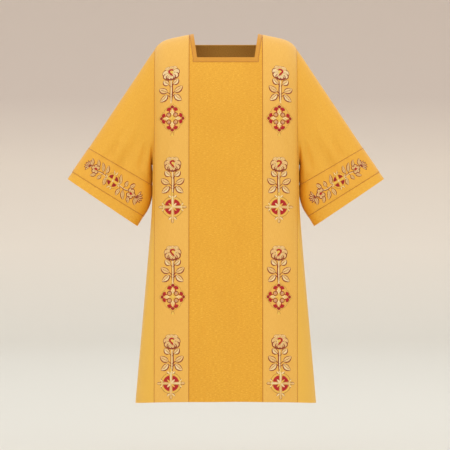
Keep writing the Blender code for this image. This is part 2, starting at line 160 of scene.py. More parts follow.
# Needlework
EDGE_SINK = 0.15
CORD_POINTS = 5
CORD_HEIGHT = 1.1
CORD_SINK = 0.25
SEAM_CORD = 0.0013
SEAM_SINK = 0.2
SEAM_SHIFT = 0.0002
NECK_SEAM_SHARE = 0.8
STITCH_PITCH = 0.0045
STITCH_SHARE = 0.68
STITCH_RADIUS = 0.00032
STITCH_INSET = 0.0028
STITCH_LIFT = 0.0005
STITCH_PROFILE = (-1.0, 0.35, 0.35, -1.0)
LEAF_NOTCHES = 5
ROSE_PLACES = [(0.1845, -0.1385), (0.1791, -0.4468), (0.1786, -0.7455), (0.1813, -1.0435)]
CROSS_PLACES = [(0.1804, -0.2923), (0.1789, -0.5904), (0.1781, -0.8928), (0.1840, -1.1824)]
BAND_MOTIF_FROM_TOP = 0.1332
BAND_MOTIF_ABOVE_HEM = 0.0752
THREAD_SLOTS = {
    "cream_gold_thread": ("cream", "pale", "straw", "gold"),
    "red_thread": ("red", "wine"),
    "brown_thread": ("brown", "mauve", "seam"),
}

# Leaves of a rose's stem, in millimetres from the rose's middle: base, tip and width
ROSE_LEAVES = [
    ((8.0, -38.5), (24.0, -22.0), 17.5),
    ((12.0, -64.5), (38.5, -48.0), 17.5),
    ((12.5, -74.0), (36.0, -95.0), 17.0),
]

# Petals of a rose's right half: base x and y, turn, length, width, base height, outline
# outlines widen on the lower petals, whose brown rims carry painted shadow
ROSE_PETALS = [
    (2.0, 2.0, -36, 25.0, 20.0, 0.2, 0.7),
    (3.0, 0.0, -80, 25.0, 21.0, 0.4, 1.1),
    (2.0, 0.0, -122, 25.5, 19.0, 0.6, 1.8),
    (0.5, 0.0, -155, 23.5, 17.0, 0.8, 1.9),
]
ROSE_CURL = [
    (7.0, 7.5), (3.5, 11.0), (-2.0, 11.0), (-6.5, 6.5), (-3.5, 0.5), (1.5, -5.0), (6.0, -11.0),
]
ROSE_CURL_WIDTHS = [2.0, 3.6, 3.9, 3.8, 3.3, 3.9, 1.2]

# Arms of a wheel cross: up, to the left, down and to the right
WHEEL_ARMS = (51, 47, 54, 47)

# Rings of a wheel cross: radius, cord and colour
WHEEL_RINGS = [(31.2, 1.7, "straw"), (35.2, 0.8, "gold")]
SMALL_WHEEL_RINGS = [(22.0, 0.9, "straw"), (24.6, 0.5, "gold")]

# Rays across a wheel cross's middle: turn, width and colour
WHEEL_RAYS = [(45, 5.2, "straw"), (225, 5.2, "straw"), (-45, 7.0, "cream"), (135, 7.0, "cream")]

# Leaves of a sleeve's spray, in millimetres from the cross's middle: base, tip and width
SPRAY_LEAVES = [
    ((-6.0, 28.0), (-28.0, 21.0), 11.0),
    ((10.0, 32.0), (34.0, 31.0), 11.0),
    ((9.0, 43.0), (33.0, 57.0), 11.0),
    ((-5.0, 45.0), (-22.0, 50.0), 10.0),
    ((14.0, 66.0), (34.0, 76.0), 10.0),
    ((-8.0, 62.0), (-24.0, 76.0), 10.0),
    ((8.0, 88.0), (29.0, 97.0), 10.0),
]

# Weave, in metres from rib to rib
RIB_PITCH = 0.0011
THREAD_PITCH = 0.0006

# Threads: name, dark and middle colour, roughness and sheen
THREADS = {
    "cream": ("cream_gold_thread", (242, 204, 134), (255, 234, 184), 0.38, 0.15),
    "pale": ("pale_gold_thread", (232, 182, 104), (250, 212, 146), 0.38, 0.15),
    "straw": ("straw_gold_thread", (232, 178, 54), (254, 222, 104), 0.38, 0.15),
    "gold": ("gold_thread", (158, 100, 26), (206, 148, 54), 0.38, 0.15),
    "red": ("red_thread", (164, 0, 8), (202, 4, 16), 0.6, 0.0),
    "wine": ("wine_thread", (140, 0, 10), (178, 4, 20), 0.6, 0.0),
    # brown: outlines, and painted shadow where they widen along lower edges of leaves and petals
    "brown": ("brown_thread", (122, 24, 8), (164, 44, 16), 0.6, 0.0),
    "mauve": ("mauve_thread", (196, 124, 106), (232, 176, 154), 0.38, 0.15),
    "seam": ("seam_thread", (186, 112, 22), (214, 144, 42), 0.55, 0.15),
}

# Camera: what the photograph shows across, at the plane REFERENCE_Y
CAMERA_DISTANCE = 9.0
CAMERA_X = -0.0027
FRAME_WIDTH = 1.527
REFERENCE_Y = -0.06
CENTRE_Z = -0.651
SENSOR_WIDTH = 36.0
CLIP_END = 60.0

# Studio
FLOOR_Z = -1.50
FLOOR_RADIUS = 4.0
WALL_RADIUS = 13.0
WALL_BEND = 3.0
WALL_TOP = 3.5
WALL_SIDES = 96
BEND_STEPS = 12
PAPER_BOTTOM, PAPER_TOP = -1.5, 0.4
PAPER_TONES = [
    (0.0, (221, 218, 208)),
    (0.35, (230, 221, 208)),
    (0.7, (225, 213, 199)),
    (1.0, (207, 193, 182)),
]
LIGHTS = [
    dict(name="key", place=(-2.2, -4.4, 0.6), target=(0, 0, -0.6), size=2.0, power=22),
    dict(name="fill", place=(2.2, -4.4, 0.4), target=(0, 0, -0.7), size=2.0, power=18),
    dict(name="back", place=(2.6, 3.4, 1.8), target=(0, 0, -0.6), size=2.5, power=6),
]
SKY_STRENGTH = 1.17

SIGN = {"front": -1.0, "back": 1.0}
HANDS = {"left": 1, "right": -1}


def smooth_step(value):
    value = np.clip(value, 0.0, 1.0)
    return value * value * (3 - 2 * value)


def unit(vectors):
    return vectors / np.maximum(np.linalg.norm(vectors, axis=-1, keepdims=True), 1e-12)


def running_length(points, axis):
    """Distance along each line of a grid of points, from its start."""
    steps = np.linalg.norm(np.diff(points, axis=axis), axis=-1)
    pad = [(0, 0), (0, 0)]
    pad[axis] = (1, 0)
    return np.cumsum(np.pad(steps, pad), axis=axis)


def path_length(path):
    """Distance along a path, at each of its points."""
    steps = np.linalg.norm(np.diff(path, axis=0), axis=1)
    return np.concatenate([[0], np.cumsum(steps)])


def grid_corners(grid):
    """The four corners of each cell of a grid, in order round the cell."""
    return grid[:-1, :-1], grid[:-1, 1:], grid[1:, 1:], grid[1:, :-1]


# Shape of the body, as in the frame


def body_half_width(z):
    """Half the body's width at a height, wider below the start of the flare."""
    below = FLARE_START_Z - z
    return CHEST_HALF_WIDTH + SIDE_FLARE * (below + np.hypot(below, FLARE_SOFTNESS)) / 2


def section_value(z, key):
    """A column of the body's sections, between their heights."""
    heights = [section["z"] for section in BODY_SECTIONS]
    return np.interp(z, heights, [section[key] for section in BODY_SECTIONS])


def shoulder_height(x):
    """Height of the shoulder seam at a distance from the middle."""
    beyond = np.maximum(np.abs(x) - SHOULDER_NECK_X, 0.0)
    rounding = (np.abs(x) / ARMHOLE_X) ** SHOULDER_ROUNDING
    return -SHOULDER_SLOPE * beyond - SHOULDER_DROP * rounding


def section_depth(side, x, z):
    """Depth of the body's outline before or behind its middle plane."""
    power = section_value(z, "power")
    share = np.minimum(np.abs(x) / body_half_width(z), 1.0)
    return section_value(z, side) * (1 - share**power) ** (1 / power)


def fold_height(side, x, z):
    """How far the large folds of a side push its cloth out."""
    total = np.zeros(np.broadcast(x, z).shape)
    for fold in BODY_FOLDS:
        if fold["side"] == side:
            spread = np.exp(-(((x - fold["x"]) / fold["half_width"]) ** 2))
            total += fold["out"] * spread * smooth_step((fold["top"] - z) / (fold["top"] - HEM_Z))
    return total


def crease_height(side, across, along, creases):
    """Height of the soft ridges and troughs on one side, each a line that fades out at both
    ends."""
    total = np.zeros(np.broadcast(across, along).shape)
    for crease in creases:
        if crease["side"] != side:
            continue
        start, end = np.array(crease["start"]), np.array(crease["end"])
        axis = end - start
        length = np.linalg.norm(axis)
        here = np.stack([across - start[0], along - start[1]], axis=-1)
        share = here @ axis / length**2
        beside = (here[..., 1] * axis[0] - here[..., 0] * axis[1]) / length
        ends = smooth_step(share / CREASE_FADE) * smooth_step((1 - share) / CREASE_FADE)
        total += crease["out"] * np.exp(-((beside / crease["half_width"]) ** 2)) * ends
    return total


def skirt_points(side, x, share):
    """Points from the hem to the chest, between the side gores."""
    edge = section_depth(side, x, HEM_Z) / section_value(HEM_Z, side)
    hem = HEM_Z + HEM_RISE * edge**2
    z = hem + share * (CHEST_Z - hem)
    depth = section_depth(side, x, z) + fold_height(side, x, z)
    return np.stack(np.broadcast_arrays(x, SIGN[side] * depth, z), axis=-1)


def gore_points(side, hand, across, share):
    """Points of a side gore, from the hem to under the arm."""
    edge = section_depth(side, ARMHOLE_X, HEM_Z) / section_value(HEM_Z, side)
    hem = HEM_Z + HEM_RISE * (across * edge) ** 2
    top = UNDERARM_Z + (CHEST_Z - UNDERARM_Z) * (1 - np.sqrt(1 - across**2))
    z = hem + share * (top - hem)
    power = section_value(z, "power")
    depth = across * section_depth(side, ARMHOLE_X, z)
    x = body_half_width(z) * (1 - (depth / section_value(z, side)) ** power) ** (1 / power)
    depth = depth + across * fold_height(side, hand * ARMHOLE_X, z)
    return np.stack([hand * x, SIGN[side] * depth, z], axis=-1)


def shoulder_points(side, x, rise):
    """Points from the chest to the shoulder seam."""
    power = SHOULDER_CURVE_POWER
    depth = section_depth(side, x, CHEST_Z) * (1 - rise**power) ** (1 / power)
    z = CHEST_Z + rise * (shoulder_height(x) - CHEST_Z)
    return np.stack([x, SIGN[side] * depth, z], axis=-1)


def neck_rises(side):
    """Rises of the lower and upper edge of the neck band's foot."""
    foot = NECK_FOOT_Z[side]
    return [1 - (foot - FOOT_BAND_WIDTH[side]) / CHEST_Z, 1 - foot / CHEST_Z]


def clavus_lines():
    """x of each grid line of an upright band, finer at its two edges."""
    edge = np.array(CLAVUS_EDGE_LINES)
    inner = np.linspace(
        CLAVUS_IN_X + edge[-1], ARMHOLE_X - edge[-1], CLAVUS_INNER_CELLS + 1
    )
    return np.concatenate([CLAVUS_IN_X + edge[:-1], inner, ARMHOLE_X - edge[-2::-1]])


def centre_lines(rise):
    """x of each grid line between the bands: even below the chest, gathered at the neck's
    sides above it."""
    count = 2 * (NECK_SIDE_CELLS + BAND_CELLS) + NECK_CELLS
    even = np.linspace(-CLAVUS_IN_X, CLAVUS_IN_X, count + 1)
    neck = NECK_FOOT_X + NECK_SLOPE * max(CHEST_Z * (1 - rise) - NECK_FOOT_Z["front"], 0.0)
    outside = np.linspace(CLAVUS_IN_X, neck + NECK_BAND_WIDTH, NECK_SIDE_CELLS + 1)[:-1]
    band = np.linspace(neck + NECK_BAND_WIDTH, neck, BAND_CELLS + 1)[:-1]
    opening = np.linspace(-neck, neck, NECK_CELLS + 1)
    gathered = np.concatenate([-outside, -band, opening, band[::-1], outside[::-1]])
    weight = smooth_step(rise / neck_rises("front")[0])
    return (1 - weight) * even + weight * gathered


def row_rises(side):
    """Rise of each row above the chest, evenly spaced round the curve of the shoulder."""
    band, foot = neck_rises(side)
    turn = SHOULDER_CURVE_POWER / 2
    marks = [0.0, math.asin(band**turn), math.asin(foot**turn), math.pi / 2]
    cells = (CHEST_CELLS, BAND_ROW_CELLS, SHOULDER_CELLS)
    angles = [0.0]
    for start, end, count in zip(marks, marks[1:], cells):
        angles += list(np.linspace(start, end, count + 1)[1:])
    return np.minimum(np.sin(angles) ** (1 / turn), 1.0)


def body_grid(side):
    """Points of a whole front or back, as rows from the hem up."""
    gore = np.arange(GORE_CELLS) / GORE_CELLS
    lines = clavus_lines()
    share = np.linspace(0, 1, SKIRT_CELLS + 1)[:, None]
    level = np.concatenate([-lines[:0:-1], centre_lines(0.0), lines[1:]])
    left = gore_points(side, -1, gore[None], share)
    right = gore_points(side, 1, gore[None, ::-1], share)
    skirt = np.concatenate([left, skirt_points(side, level[None], share), right], axis=1)
    rises = row_rises(side)[1:]
    x = np.array([[*-lines[:0:-1], *centre_lines(rise), *lines[1:]] for rise in rises])
    top = shoulder_points(side, x, rises[:, None])
    ends = [np.repeat(part[-1:], len(rises), axis=0) for part in (left, right)]
    return np.concatenate([skirt, np.concatenate([ends[0], top, ends[1]], axis=1)])


# Where each part of a body grid lies

CLAVUS_CELLS = 2 * (len(CLAVUS_EDGE_LINES) - 1) + CLAVUS_INNER_CELLS
CENTRE_CELLS = 2 * (NECK_SIDE_CELLS + BAND_CELLS) + NECK_CELLS
COLUMNS = 2 * (GORE_CELLS + CLAVUS_CELLS) + CENTRE_CELLS
NECK_LEFT = GORE_CELLS + CLAVUS_CELLS + NECK_SIDE_CELLS + BAND_CELLS
NECK_RIGHT = NECK_LEFT + NECK_CELLS
NECK_BAND_LEFT = NECK_LEFT - BAND_CELLS
NECK_BAND_RIGHT = NECK_RIGHT + BAND_CELLS
BAND_ROW = SKIRT_CELLS + CHEST_CELLS
FOOT_ROW = BAND_ROW + BAND_ROW_CELLS


def body_cells(rows):
    """Which cells of a front or back are cloth."""
    cloth = np.ones((rows - 1, COLUMNS), bool)
    cloth[SKIRT_CELLS:, :GORE_CELLS] = False
    cloth[SKIRT_CELLS:, COLUMNS - GORE_CELLS :] = False
    cloth[FOOT_ROW:, NECK_LEFT:NECK_RIGHT] = False
    return cloth


def neck_band_cells(surface):
    """Which cells of a front or back lie under the band round the neck."""
    cells = np.zeros_like(surface["cells"])
    cells[BAND_ROW:, NECK_BAND_LEFT:NECK_BAND_RIGHT] = True
    cells[FOOT_ROW:, NECK_LEFT:NECK_RIGHT] = False
    return cells


def grid_normals(points, cells, outward):
    """Outward direction at each point, from the cells around it."""
    a, b, c, d = grid_corners(points)
    facing = np.cross(c - a, d - b) * outward * cells[..., None]
    normals = np.zeros_like(points)
    for rows in (slice(None, -1), slice(1, None)):
        for columns in (slice(None, -1), slice(1, None)):
            normals[rows, columns] += facing
    return unit(normals)


def level_seam_normals(normals):
    """Turns the directions at the side and shoulder seams into the seam's own plane."""
    for seam in (np.s_[:, 0], np.s_[:, -1], np.s_[-1, :]):
        normals[seam][..., 1] = 0
        normals[seam] = unit(normals[seam])
    return normals


def body_surface(side):
    """Middle of the cloth of a front or back: points, outward directions, cells and the
    place of each point on the cloth."""
    points = body_grid(side)
    cells = body_cells(len(points))
    normals = level_seam_normals(grid_normals(points, cells, -SIGN[side]))
    middle = COLUMNS // 2
    across = running_length(points, 1)
    across -= across[:, middle : middle + 1]
    height = crease_height(side, across, points[..., 2], BODY_CREASES)
    points = points + normals * height[..., None]
    normals = level_seam_normals(grid_normals(points, cells, -SIGN[side]))
    along = running_length(points, 0)
    return dict(points=points, normals=normals, cells=cells, place=np.stack([across, along], -1))


# Walls of cloth


def boundary_edges(cells, ring):
    """Edges of the cloth where a cell has no neighbour: pairs of grid places, in the order
    in which they bound the cell."""
    rows, columns = cells.shape
    edges = []
    for row, column in zip(*np.nonzero(cells)):
        left, right = column - 1, column + 1
        if ring:
            left, right = left % columns, right % columns
        if row == 0 or not cells[row - 1, column]:
            edges.append(((row, column), (row, column + 1)))
        if right == columns or not cells[row, right]:
            edges.append(((row, column + 1), (row + 1, column + 1)))
        if row + 1 == rows or not cells[row + 1, column]:
            edges.append(((row + 1, column + 1), (row + 1, column)))
        if left < 0 or not cells[row, left]:
            edges.append(((row + 1, column), (row, column)))
    return edges


def numbered_points(cells, ring):
    """Which points of a grid touch cloth, and the number of each of these."""
    rows, columns = cells.shape
    used = np.zeros((rows + 1, columns + 1), bool)
    for down in (slice(None, -1), slice(1, None)):
        for side in (slice(None, -1), slice(1, None)):
            used[down, side] |= cells
    if ring:
        used[:, -1] = False
    number = np.cumsum(used.ravel()).reshape(used.shape) - 1
    if ring:
        number[:, -1] = number[:, 0]
    return used, number


def shell(name, inner, outer, cells, place, outward, materials, ring=False):
    """A closed wall of cloth between two grids of points. Its outer skin has the first
    material, and its inner skin the last."""
    used, number = numbered_points(cells, ring)
    total = int(used.sum())
    at = np.nonzero(cells)
    corners = [(0, 0), (0, 1), (1, 1), (1, 0)]
    quads = np.stack([number[at[0] + down, at[1] + side] for down, side in corners], -1)
    spots = np.stack([place[at[0] + down, at[1] + side] for down, side in corners], 1)
    if outward < 0:
        quads, spots = quads[:, ::-1], spots[:, ::-1]
    rim, rim_spots = [], []
    for start, end in boundary_edges(cells, ring):
        if outward < 0:
            start, end = end, start
        first, last = number[start], number[end]
        rim.append((last, first, first + total, last + total))
        rim_spots.append((place[end], place[start], place[start], place[end]))
    faces = np.concatenate([quads, quads[:, ::-1] + total, np.array(rim)])
    spots = np.concatenate([spots, spots[:, ::-1], np.array(rim_spots)])
    points = np.concatenate([outer[used], inner[used]])
    piece = new_piece(name, points, faces, spots, materials)
    index = np.zeros(len(faces), np.int32)
    index[len(quads) : 2 * len(quads)] = len(materials) - 1
    piece.data.polygons.foreach_set("material_index", index)
    return piece


def new_piece(name, points, faces, spots, materials):
    """A smooth mesh with the given corners' places as its map."""
    mesh = bpy.data.meshes.new(name)
    mesh.from_pydata(points.tolist(), [], [list(map(int, face)) for face in faces])
    layer = mesh.uv_layers.new(name="cloth")
    flat = np.concatenate([np.asarray(spot, float).reshape(-1, 2) for spot in spots])
    layer.uv.foreach_set("vector", flat.astype(np.float32).ravel())
    for material in materials:
        mesh.materials.append(material)
    mesh.shade_smooth()
    mesh.set_sharp_from_angle(angle=math.radians(SHARP_ANGLE))
    piece = bpy.data.objects.new(name, mesh)
    bpy.context.scene.collection.objects.link(piece)
    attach(piece, "root")
    return piece


def inner_depth(place_along):
    """Depth of the inner skin, thicker where the hem is turned up."""
    turn = 1 - smooth_step((place_along - HEM_TURN) / HEM_TURN_EDGE)
    return PANEL_WALL / 2 + HEM_TURN_THICKNESS * turn


def body_panel(side, surface, materials):
    """The cloth of a front or back, clear of its neighbours at the seams."""
    points, normals = surface["points"].copy(), surface["normals"]
    for edge, inside in ((0, 1), (-1, -2)):
        inward = unit(points[: SKIRT_CELLS + 1, inside] - points[: SKIRT_CELLS + 1, edge])
        points[: SKIRT_CELLS + 1, edge] += inward * SEAM_GAP / 2
    points[-1, GORE_CELLS:-GORE_CELLS, 1] += SIGN[side] * SEAM_GAP / 2
    depth = inner_depth(surface["place"][..., 1])
    inner = points - normals * depth[..., None]
    outer = points + normals * PANEL_WALL / 2
    return shell(
        f"{side}_cloth", inner, outer, surface["cells"], surface["place"], -SIGN[side], materials
    )


def rounded_edge(distance, width):
    """Share of full thickness at a distance from a turned edge."""
    share = np.clip(distance / width, 0, 1)
    return TURNED_EDGE_SHARE + (1 - TURNED_EDGE_SHARE) * np.sqrt(1 - (1 - share) ** 2)


def puckers(distance, along):
    """Small waves that stitching pulls into the cloth beside it."""
    fade = np.exp(-distance / PUCKER_REACH)
    wave = np.sin(along / PUCKER_PITCH * 2 * math.pi + 3 * np.sin(along / PUCKER_WANDER))
    return PUCKER_HEIGHT * fade * wave


def clavus_surface(hand, surfaces):
    """Grid of an upright band, from the front hem over the shoulder to the back hem."""
    first = GORE_CELLS if hand < 0 else COLUMNS - GORE_CELLS - CLAVUS_CELLS
    span = slice(first, first + CLAVUS_CELLS + 1)
    front, back = surfaces["front"], surfaces["back"]
    points = np.concatenate([front["points"][:, span], back["points"][-2::-1, span]])
    normals = np.concatenate([front["normals"][:, span], back["normals"][-2::-1, span]])
    edge, beside = (0, 1) if hand < 0 else (-1, -2)
    points[:, edge] += unit(points[:, beside] - points[:, edge]) * SEAM_GAP
    for end, inside in ((0, 1), (-1, -2)):
        points[end] += unit(points[inside] - points[end]) * SEAM_GAP
    across, along = running_length(points, 1), running_length(points, 0)
    distance = np.minimum(across, across[:, -1:] - across)
    lift = STRIP_BASE + STRIP_THICKNESS * rounded_edge(distance, CLAVUS_EDGE_LINES[-1])
    lift = lift + puckers(distance, along)
    return dict(
        inner=points + normals * STRIP_BASE,
        outer=points + normals * lift[..., None],
        normals=normals,
        cells=np.ones((points.shape[0] - 1, points.shape[1] - 1), bool),
        place=np.stack([across, along], -1),
        shoulder=len(front["points"]) - 1,
    )


def neck_band(side, surface, material):
    """The flat band round the neck, thinner at its edges."""
    points, normals = surface["points"].copy(), surface["normals"]
    points[-1, :, 1] += SIGN[side] * SEAM_GAP / 2
    outer_edge = STRIP_BASE + STRIP_THICKNESS * OUTER_EDGE_SHARE
    inner_edge = STRIP_BASE + STRIP_THICKNESS * INNER_EDGE_SHARE
    lift = np.full(points.shape[:2], STRIP_BASE + STRIP_THICKNESS)
    lift[BAND_ROW] = outer_edge
    lift[FOOT_ROW, NECK_LEFT : NECK_RIGHT + 1] = inner_edge
    lift[BAND_ROW:, [NECK_BAND_LEFT, NECK_BAND_RIGHT]] = outer_edge
    lift[FOOT_ROW:, [NECK_LEFT, NECK_RIGHT]] = inner_edge
    inner, outer = points + normals * STRIP_BASE, points + normals * lift[..., None]
    name, cells = f"neck_band_{side}_cloth", neck_band_cells(surface)
    return shell(name, inner, outer, cells, surface["place"], -SIGN[side], [material])


# Sleeves, as in the frame


def armhole_loop(hand, surfaces):
    """The armhole seam down the front, under the arm and up the back: points, outward
    directions, and directions away from the body."""
    points, normals = [], []
    for side in ("front", "back"):
        surface = surfaces[side]
        edge = GORE_CELLS if hand < 0 else COLUMNS - GORE_CELLS
        gore = range(edge - 1, -1, -1) if hand < 0 else range(edge + 1, COLUMNS + 1)
        rows = range(len(surface["points"]) - 1, SKIRT_CELLS - 1, -1)
        places = [(row, edge) for row in rows] + [(SKIRT_CELLS, column) for column in gore]
        if side == "back":
            places = places[-2:0:-1]
        points += [surface["points"][place] for place in places]
        normals += [surface["normals"][place] for place in places]
    points, normals = np.array(points), np.array(normals)
    along = np.roll(points, -1, axis=0) - np.roll(points, 1, axis=0)
    away = unit(np.cross(normals, along))
    inward = points.mean(axis=0) - points
    facing = np.where(points[:, 2] < CHEST_Z - SEAM_GAP, (away * inward).sum(1), away[:, 0] * hand)
    return points, normals, away * np.sign(facing)[:, None]


def sleeve_rails():
    """Top, underside and shape of each ring of a sleeve, its progress from the armhole to
    the hem, and the ring at each section."""
    table = SLEEVE_SECTIONS
    values = np.array([[*s["top"], *s["under"], s["shape"]] for s in table])
    passed = np.cumsum([0] + [s["rings"] for s in table[:-1]])
    rails, progress, marks = [], [], []
    last = len(values) - 1
    for number, section in enumerate(table):
        marks.append(len(rails))
        before, here = values[max(number - 1, 0)], values[number]
        after, beyond = values[min(number + 1, last)], values[min(number + 2, last)]
        for step in range(section["steps"]):
            t = step / section["steps"]
            cubic = 2 * here + (after - before) * t
            cubic = cubic + (2 * before - 5 * here + 4 * after - beyond) * t**2
            cubic = cubic + (3 * here - before - 3 * after + beyond) * t**3
            rails.append(cubic / 2)
            progress.append((passed[number] + t * section["rings"]) / passed[-1])
    rails.append(values[-1])
    progress.append(1.0)
    return np.array(rails), np.array(progress), marks


def sleeve_fold_heights(across, depth, progress):
    """How far the large folds of a sleeve push its cloth out."""
    heights = np.zeros_like(depth)
    for fold in SLEEVE_FOLDS:
        sign = SIGN[fold["side"]]
        on_side = np.where(depth * sign > 0, np.minimum(np.abs(depth) / FOLD_TURN_DEPTH, 1.0), 0.0)
        spread = np.exp(-(((across - fold["across"]) / fold["half_width"]) ** 2))
        share = (progress - fold["start"]) / (fold["end"] - fold["start"])
        heights += sign * fold["out"] * spread * on_side * np.sin(math.pi * np.clip(share, 0, 1))
    return heights


def cuff_oval(count):
    """Place across the sleeve and depth of each point of the cuff's oval."""
    turn = np.arange(count) / count * 2 * math.pi
    power = 2 / CUFF_OVAL_POWER
    across = 0.5 + 0.5 * np.sign(np.cos(turn)) * np.abs(np.cos(turn)) ** power
    depth = -CUFF_HALF_DEPTH * np.sign(np.sin(turn)) * np.abs(np.sin(turn)) ** power
    return across, depth


def sleeve_shape(hand, seam):
    """Rings of a sleeve before its creases, the place of each point across the sleeve, and
    the ring at each section."""
    rails, progress, marks = sleeve_rails()
    under_point = seam[len(seam) // 2]
    span = (seam[0] - under_point) * (1, 0, 1)
    base_across = (seam - under_point) @ span / (span @ span)
    aside = (seam - under_point - base_across[:, None] * span)[:, 0] * hand
    cuff_across, cuff_depth = cuff_oval(len(seam))
    top_x, top_z, under_x, under_z, shape = rails.T[:, :, None]
    across = base_across * (1 - shape) + cuff_across * shape
    depth = seam[:, 1] * (1 - shape) + cuff_depth * shape
    depth = depth + sleeve_fold_heights(across, depth, progress[:, None])
    x = under_x + across * (top_x - under_x) + aside * (1 - shape)
    z = under_z + across * (top_z - under_z)
    return np.stack([hand * x, depth, z], axis=-1), across, marks


def seam_directions(seam, seam_normals, away):
    """Outward directions of a sleeve at its armhole, turned off the body further down."""
    lean = smooth_step((CHEST_Z - seam[:, 2]) / (CHEST_Z - UNDERARM_Z))[:, None]
    return unit(seam_normals * (1 - lean) - away * lean)


def sleeve_surface(hand, surfaces):
    """Middle of a sleeve's cloth, as rings from the armhole to the hem."""
    seam, seam_normals, away = armhole_loop(hand, surfaces)
    points, across, marks = sleeve_shape(hand, seam)
    depth = points[..., 1].copy()
    base_normals = seam_directions(seam, seam_normals, away)
    reach = SEAM_GAP + PANEL_WALL / 2 * np.abs((base_normals * away).sum(1))
    points[0] = seam + away * reach[:, None]
    above_hem = ring_heights(points)
    heights = np.zeros(depth.shape)
    for side, sign in SIGN.items():
        creases = crease_height(side, across * SLEEVE_WIDTH, above_hem, SLEEVE_CREASES)
        heights += smooth_step(depth * sign / CREASE_TURN_DEPTH) * creases
    closed = np.concatenate([points, points[:, :1]], axis=1)
    heights = np.concatenate([heights, heights[:, :1]], axis=1)
    closed = closed + ring_normals(closed, hand, base_normals) * heights[..., None]
    round_place = running_length(closed, 1)
    round_place = round_place * (round_place[-1, -1] / np.maximum(round_place[:, -1:], 1e-9))
    along = np.concatenate([above_hem, above_hem[:, :1]], axis=1)
    return dict(
        points=closed,
        normals=ring_normals(closed, hand, base_normals),
        cells=np.ones((len(closed) - 1, len(seam)), bool),
        place=np.stack([round_place, along], -1),
        across=np.concatenate([across, across[:, :1]], axis=1),
        marks=marks,
    )


def ring_heights(points):
    """Distance of each ring above the sleeve's hem, the same all round each ring."""
    top = running_length(points, 0)[:, :1]
    return np.repeat(top[-1] - top, points.shape[1], axis=1)


def ring_normals(closed, hand, base_normals):
    """Outward directions of a sleeve, alike where its rings close."""
    cells = np.ones((closed.shape[0] - 1, closed.shape[1] - 1))
    normals = grid_normals(closed, cells, hand)
    joined = unit(normals[:, 0] + normals[:, -1])
    normals[:, 0] = joined
    normals[:, -1] = joined
    normals[0] = np.concatenate([base_normals, base_normals[:1]])
    return normals


def sleeve_cloth(word, hand, surface, materials):
    """The cloth of a sleeve."""
    points, normals = surface["points"], surface["normals"]
    inner = points - normals * inner_depth(surface["place"][..., 1])[..., None]
    outer = points + normals * PANEL_WALL / 2
    name = f"sleeve_{word}_cloth"
    return shell(name, inner, outer, surface["cells"], surface["place"], hand, materials, ring=True)


def sleeve_band_surface(surface):
    """Grid of the band round a sleeve."""
    rows = slice(surface["marks"][BAND_SECTIONS[0]], surface["marks"][BAND_SECTIONS[1]] + 1)
    points, normals = surface["points"][rows], surface["normals"][rows]
    place = surface["place"][rows]
    along = place[..., 1]
    distance = np.minimum(along - along[-1:], along[:1] - along)
    lift = STRIP_BASE + STRIP_THICKNESS * rounded_edge(distance, BAND_ROUNDING)
    lift = lift + puckers(distance, place[..., 0])
    return dict(
        inner=points + normals * STRIP_BASE,
        outer=points + normals * lift[..., None],
        normals=normals,
        cells=surface["cells"][: len(points) - 1],
        place=place,
        across=surface["across"][rows],
    )


# Needlework: places and sizes are in millimetres on the cloth


class Patch:
    """A stretch of cloth to sew on: a grid of points and outward directions, with a
    distance in metres for each column and each row."""

    def __init__(self, points, normals, across, along):
        if across[-1] < across[0]:
            points, normals, across = points[:, ::-1], normals[:, ::-1], across[::-1]
        if along[-1] < along[0]:
            points, normals, along = points[::-1], normals[::-1], along[::-1]
        self.points, self.normals, self.across, self.along = points, normals, across, along

    def lift(self, places, heights):
        """Points of space over places on the cloth, and the outward directions there."""
        column = np.interp(places[..., 0], self.across, np.arange(len(self.across)))
        row = np.interp(places[..., 1], self.along, np.arange(len(self.along)))
        i = np.minimum(row.astype(int), len(self.along) - 2)
        j = np.minimum(column.astype(int), len(self.across) - 2)
        down, over = (row - i)[..., None], (column - j)[..., None]

        def blend(grid):
            near = grid[i, j] * (1 - over) + grid[i, j + 1] * over
            far = grid[i + 1, j] * (1 - over) + grid[i + 1, j + 1] * over
            return near * (1 - down) + far * down

        normals = unit(blend(self.normals))
        return blend(self.points) + normals * heights[..., None], normals


class Threads:
    """Gathers the raised stitches of one area, by colour, into a piece for each slot."""

    def __init__(self):
        self.parts = {}

    def add(self, points, normals, spots, colour):
        """Adds a grid of points as a patch of thread that faces outwards."""
        a, b, c, d = grid_corners(points)
        if (np.cross(c - a, d - b) * normals[:-1, :-1]).sum() < 0:
            points, spots = points[:, ::-1], spots[:, ::-1]
        self.parts.setdefault(colour, []).append((points, spots))

    def finish(self, name, materials):
        """Makes the pieces, and gives them back."""
        pieces = []
        for slot, colours in THREAD_SLOTS.items():
            used = [colour for colour in colours if colour in self.parts]
            if not used:
                continue
            points, faces, corners, index, total = [], [], [], [], 0
            for number, colour in enumerate(used):
                for grid, spots in self.parts[colour]:
                    rows, columns = grid.shape[:2]
                    at = np.arange(rows * columns).reshape(rows, columns)
                    quads = np.stack(grid_corners(at), -1).reshape(-1, 4)
                    points.append(grid.reshape(-1, 3))
                    faces.append(quads + total)
                    corners.append(spots.reshape(-1, 2)[quads])
                    index += [number] * len(quads)
                    total += rows * columns
            piece = new_piece(
                f"{name}_{slot}", np.concatenate(points), np.concatenate(faces),
                np.concatenate(corners), [materials[colour] for colour in used],
            )
            piece.data.polygons.foreach_set("material_index", np.array(index, np.int32))
            pieces.append(piece)
        return pieces


def curve(points, count):
    """A smooth curve through the given points."""
    points = np.array(points, float)
    padded = np.vstack([2 * points[0] - points[1], points, 2 * points[-1] - points[-2]])
    at = np.linspace(0, len(points) - 1, count)
    first = np.minimum(at.astype(int), len(points) - 2)
    t = (at - first)[:, None]
    a, b, c, d = (padded[first + n] for n in range(4))
    bend = (2 * a - 5 * b + 4 * c - d) * t**2 + (3 * b - a - 3 * c + d) * t**3
    return (2 * b + (c - a) * t + bend) / 2


